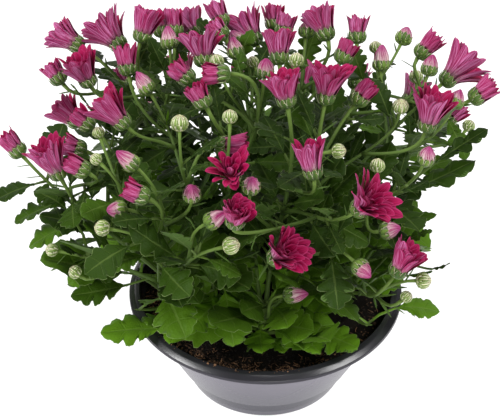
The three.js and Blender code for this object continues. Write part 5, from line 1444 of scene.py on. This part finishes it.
def bractLeafPart(rows, rng):
    # a narrow pointed blade: five flat sections, widest a third of the way up, curved outwards
    root, reach, outward = (np.array([row[n] for row in rows]) for n in range(3))
    long = np.array([row[3] for row in rows])[:, None, None]
    s = np.linspace(0, 1, 5)[None, :, None]
    across = 3
    c = np.concatenate([np.linspace(-1, 1, across), np.linspace(1, -1, across)])[None, None, :]
    under = np.concatenate([np.zeros(across), np.ones(across)])[None, None, :]
    side = unit(np.cross(reach, outward))[:, None, None]
    face = np.cross(side[:, 0, 0], reach)[:, None, None]
    half = long * 0.085 * np.interp(s, [0, 0.35, 0.7, 1], [0.55, 1, 0.8, 0.08])
    line = (root[:, None, None] + reach[:, None, None] * (long * s)[..., None]
            + outward[:, None, None] * (long * 0.18 * s**2)[..., None])
    lift = np.abs(c) * half * 0.3 + np.where(under > 0, -0.25, 0.25) * (1 - 0.6 * s)
    rings = line + side * (c * half)[..., None] + face * lift[..., None]
    uv = np.stack(np.broadcast_arrays((c + 1) / 2 * 0.9 + 0.05, 0.3 * s), -1)
    return tubeSet(rings, rng.uniform(0.3, 0.9, len(rows)), side=np.broadcast_to(under, rings.shape[:3]), uv=uv)


def makeCuttings():
    # each cutting is one piece: stems, leaves, small stem leaves, then each head's cup, bracts and tip
    rng = np.random.default_rng(11)
    for name, stems in stemsOf.items():
        parts = [(stemTube(stem), stemFinish) for stem in stems]
        for grid in leafGrids:
            leaves = [leaf for leaf in leavesOf[name] if leaf["grid"] == grid]
            parts.append((leafTubes(leaves, grid, rng), leafFinish))
        small = [row for stem in stems for row in stemBracts(stem, rng)]
        parts.append((bractLeafPart(small, rng), leafFinish))
        for head in everyHead:
            if head["cutting"] != name:
                continue
            parts.append((cupPart(head), budFinish if head["stage"] == "bud" else stemFinish))
            parts += [(part, bractFinish) for part in bractPart(head, rng)]
            if head["stage"] == "tip":
                parts.append((furledPart(head, rng), petalFinish))
        piece = pieceFrom("cutting_" + name, parts, "foliage", "plant_" + name)
        print(piece.name, sum(len(p.vertices) - 2 for p in piece.data.polygons), "triangles")


makeCuttings()


bloomLook = {
    "rows": [0, 0.2, 0.41, 0.6, 0.75, 0.87, 0.95, 1], "columns": [-1, -0.5, 0, 0.5, 1, 0.62, 0, -0.62],
    "insideColumns": 5, "openWidth": 9.6, "halfWidth": 6.0, "thickness": 0.45, "channel": 0.3, "shingle": 21,
    "shortest": {"loose": 0.6, "open": 0.84, "half": 0.74}, "longest": 1.08,  # petals vary between these shares
    "looseFrom": 50, "missing": 0.34, "looseWidth": 0.86,  # a head spread wider than this has lost petals
    "seat": [(5.6, 0.3), (5.8, 1.0), (4.6, 2.0), (2.8, 2.6), (0.8, 2.9)], "seatAround": 14, "seatGap": 0.3,
    "seed": 41,
}
openWhorls = [  # petals, root radius, root height, share of the length, share of the spread, width
    (10, 6.3, -0.6, 1.00, 1.00, 1.00), (10, 5.7, -0.2, 0.97, 0.9, 0.96), (8, 4.6, 0.6, 0.88, 0.6, 0.85),
    (6, 3.2, 1.2, 0.74, 0.3, 0.75), (3, 1.6, 1.6, 0.56, -0.1, 0.65),
]
halfWhorls = [
    (9, 6.2, -0.6, 1.00, 1.00, 1.00), (9, 5.2, 0.0, 1.0, 0.72, 0.96), (6, 3.4, 0.8, 0.96, 0.2, 0.9),
    (3, 1.5, 1.0, 0.86, -0.2, 0.75),
]


def bowed(start, handle, end, q):
    # a quadratic curve's value at q
    return start * (1 - q) ** 2 + handle * 2 * q * (1 - q) + end * q * q


def petalRows(head, rng):
    # what each petal of a head is drawn from: bearing, radius and height of its root, length, spread
    # from the axis, width, turn about its midline, tone by age, and sideways sweep
    v = bloomLook
    isOpen, loose = head["stage"] == "open", head["spread"] > v["looseFrom"]
    length = head["reach"] - calyxHeight
    shortest = v["shortest"]["loose" if loose else head["stage"]]
    full = v["openWidth" if isOpen else "halfWidth"] * (v["looseWidth"] if loose else 1)
    start, age = rng.uniform(0, 2 * math.pi), 0.4 + rng.uniform(0, 0.35) + (0.0 if isOpen else 0.15)
    rows = []
    for whorl, (count, root, low, share, spreadShare, wide) in enumerate(openWhorls if isOpen else halfWhorls):
        for k in range(count):
            if loose and rng.uniform(0, 1) < v["missing"]:
                continue
            turn = k + 0.5 * whorl + rng.uniform(-0.14, 0.14) * (2 if loose else 1)
            bearing = start + turn * 2 * math.pi / count
            spread = math.radians(head["spread"] * spreadShare + rng.normal(0, 17 if loose else 6.5))
            long = length * share * rng.uniform(shortest, v["longest"])
            width = full * wide * rng.uniform(0.84, 1.12)
            shingle = math.radians(v["shingle"] + rng.normal(0, 7))
            tone = age + rng.uniform(-0.1, 0.25) + 0.09 * whorl
            sweep = rng.normal(0, 0.06)
            rows.append((bearing, root + 0.9 * (k % 2), low, long, spread, width, shingle, tone, sweep))
    return rows


def makeBloom(head, number, rng):
    # Strap petals in whorls. A petal's midline is a quadratic curve in the upright plane of its
    # bearing: it rises nearly straight from the receptacle and opens towards its tip. Across, it is a
    # shallow channel, turned a little about its midline so that petals overlap like shingles.
    v = bloomLook
    foot, side, across, way = headFrame(head)
    columns = (np.array(column)[:, None, None] for column in zip(*petalRows(head, rng)))
    bearing, root, low, long, spread, wide, shingle, tone, sweep = columns
    s = np.array(v["rows"])[None, :, None]
    handle = spread * 0.5  # the midline leaves its root at half the spread

    def radial(q):
        return bowed(root, root + long * 0.5 * np.sin(handle) + 0.7, root + long * np.sin(spread), q)

    def rise(q):
        return bowed(low, low + long * 0.5 * np.cos(handle), low + (long - low) * np.cos(spread), q)

    c = np.array(v["columns"])[None, None, :]
    outside = (np.arange(c.shape[2]) >= v["insideColumns"])[None, None, :] * 1.0
    slopeR = radial(np.minimum(s + 0.02, 1)) - radial(np.maximum(s - 0.02, 0))
    slopeZ = rise(np.minimum(s + 0.02, 1)) - rise(np.maximum(s - 0.02, 0))
    norm = np.sqrt(slopeR**2 + slopeZ**2)
    inR, inZ = -slopeZ / norm, slopeR / norm  # square to the midline, towards the axis
    body = 0.52 + 0.48 * np.sin(math.pi / 2 * np.clip(s / 0.72, 0, 1))
    tipRound = (1 - np.clip((s - 0.5) / 0.5, 0, 1) ** 2.5) ** (0.6 if head["stage"] == "open" else 0.75)
    half = wide / 2 * body * np.maximum(tipRound, 0.03)
    turn = shingle * (0.55 + 0.45 * np.clip(s * 2, 0, 1))
    sideways = c * half * np.cos(turn) + sweep * long * s**2
    edge = 1 - np.abs(c) ** 4
    layer = np.where(outside > 0, -0.55, 0.45) * v["thickness"] * edge
    depth = c * half * np.sin(turn) + v["channel"] * half * c**2 + layer
    rho = radial(s) + inR * depth
    z = rise(s) + inZ * depth + calyxHeight + v["seatGap"]
    outward = np.cos(bearing)[..., None] * side + np.sin(bearing)[..., None] * across
    tangent = -np.sin(bearing)[..., None] * side + np.cos(bearing)[..., None] * across
    rings = foot + outward * rho[..., None] + tangent * sideways[..., None] + way * z[..., None]
    uv = np.stack(np.broadcast_arrays((c + 1) / 2, s), -1)
    flags = np.broadcast_to(outside, rings.shape[:3])
    petals = tubeSet(rings, tone.ravel(), side=flags, uv=uv, rim=np.abs(c) == 1)
    # the receptacle that the petals stand on
    turn = np.arange(v["seatAround"]) * 2 * math.pi / v["seatAround"]
    radius, height = np.array(v["seat"]).T[:, :, None]
    angle = np.broadcast_to(turn, (len(radius), len(turn)))
    seatRings = aroundHead(head, angle, radius + 0 * angle, height + calyxHeight + 0 * angle)
    seat = tubeSet(seatRings[None], 0.6, uv=np.array([0.5, 0.0]))
    parts = [(petals, petalFinish), (seat, petalFinish)]
    pieceFrom("flower_%02d" % number, parts, "petals", "bloom_%02d" % number)


bloomRng = np.random.default_rng(bloomLook["seed"])
blooming = [head for head in everyHead if head["stage"] in ("open", "half")]
for number, head in enumerate(blooming, 1):
    makeBloom(head, number, bloomRng)
print("blooms made:", len(blooming))


stageValues = {
    "floor": 1.4, "ambient": 0.12,  # the floor's half width in metres, the white surroundings' strength
    "lamps": [  # name, place, target, width, height, power in watts
        ("keyLeft", (-1.4, -0.5, 1.25), (0, 0, 0.15), 0.6, 0.6, 21),
        ("keyRight", (1.2, -0.4, 1.4), (0, 0, 0.15), 0.6, 0.6, 14),
        ("top", (0.1, -0.1, 1.8), (0, 0, 0.15), 0.7, 0.7, 8),
        ("front", (0.2, -1.6, 0.7), (0, 0, 0.12), 0.8, 0.8, 8.5),
        ("back", (0, 1.5, 0.95), (0, 0, 0.12), 1.9, 0.9, 12),
    ],
}


def makeFloor():
    # a lit white table top
    size = stageValues["floor"]
    mesh = bpy.data.meshes.new("tableTop")
    corners = [(-size, -size, 0), (size, -size, 0), (size, size, 0), (-size, size, 0)]
    mesh.from_pydata(corners, [], [(0, 1, 2, 3)])
    floor = bpy.data.objects.new("tableTop", mesh)
    bpy.context.collection.objects.link(floor)
    material, _, shader = newMaterial("whiteAcrylic", Roughness=0.6, Specular_IOR_Level=0.1)
    shader.inputs["Base Color"].default_value = linearColour("#9A9A9A")
    shader.inputs["Emission Color"].default_value = linearColour("#FFFFFF")
    shader.inputs["Emission Strength"].default_value = 0.9
    mesh.materials.append(material)


def makeLamp(name, place, target, width, height, power):
    # a soft box that looks from its place at the target
    data = bpy.data.lights.new(name, "AREA")
    data.shape = "RECTANGLE"
    data.size, data.size_y = height, width  # the lamp's own x stands upright
    data.energy = power
    lamp = bpy.data.objects.new(name, data)
    bpy.context.collection.objects.link(lamp)
    lamp.location = place
    way = np.array(target) - np.array(place)
    yaw, tilt = math.atan2(way[1], way[0]), math.acos(way[2] / lengthOf(way))
    lamp.rotation_euler = (0, math.pi - tilt, yaw + math.pi)


def makeStage():
    # floor, lamps, white surroundings and the camera
    makeFloor()
    for lamp in stageValues["lamps"]:
        makeLamp(*lamp)
    world = bpy.data.worlds.new("studio")
    world.use_nodes = True
    background = world.node_tree.nodes["Background"]
    background.inputs[0].default_value = linearColour("#FFFFFF")
    background.inputs[1].default_value = stageValues["ambient"]
    bpy.context.scene.world = world
    data = bpy.data.cameras.new("camera")
    data.lens, data.sensor_width = sceneValues["lens"], sceneValues["sensor"]
    camera = bpy.data.objects.new("camera", data)
    bpy.context.collection.objects.link(camera)
    camera.location = sceneValues["camera"]
    camera.rotation_euler = (math.radians(90 - sceneValues["pitch"]), 0, math.radians(sceneValues["yaw"]))
    bpy.context.scene.camera = camera
    bpy.context.scene.view_settings.view_transform = "Standard"


makeStage()
bpy.context.view_layer.update()
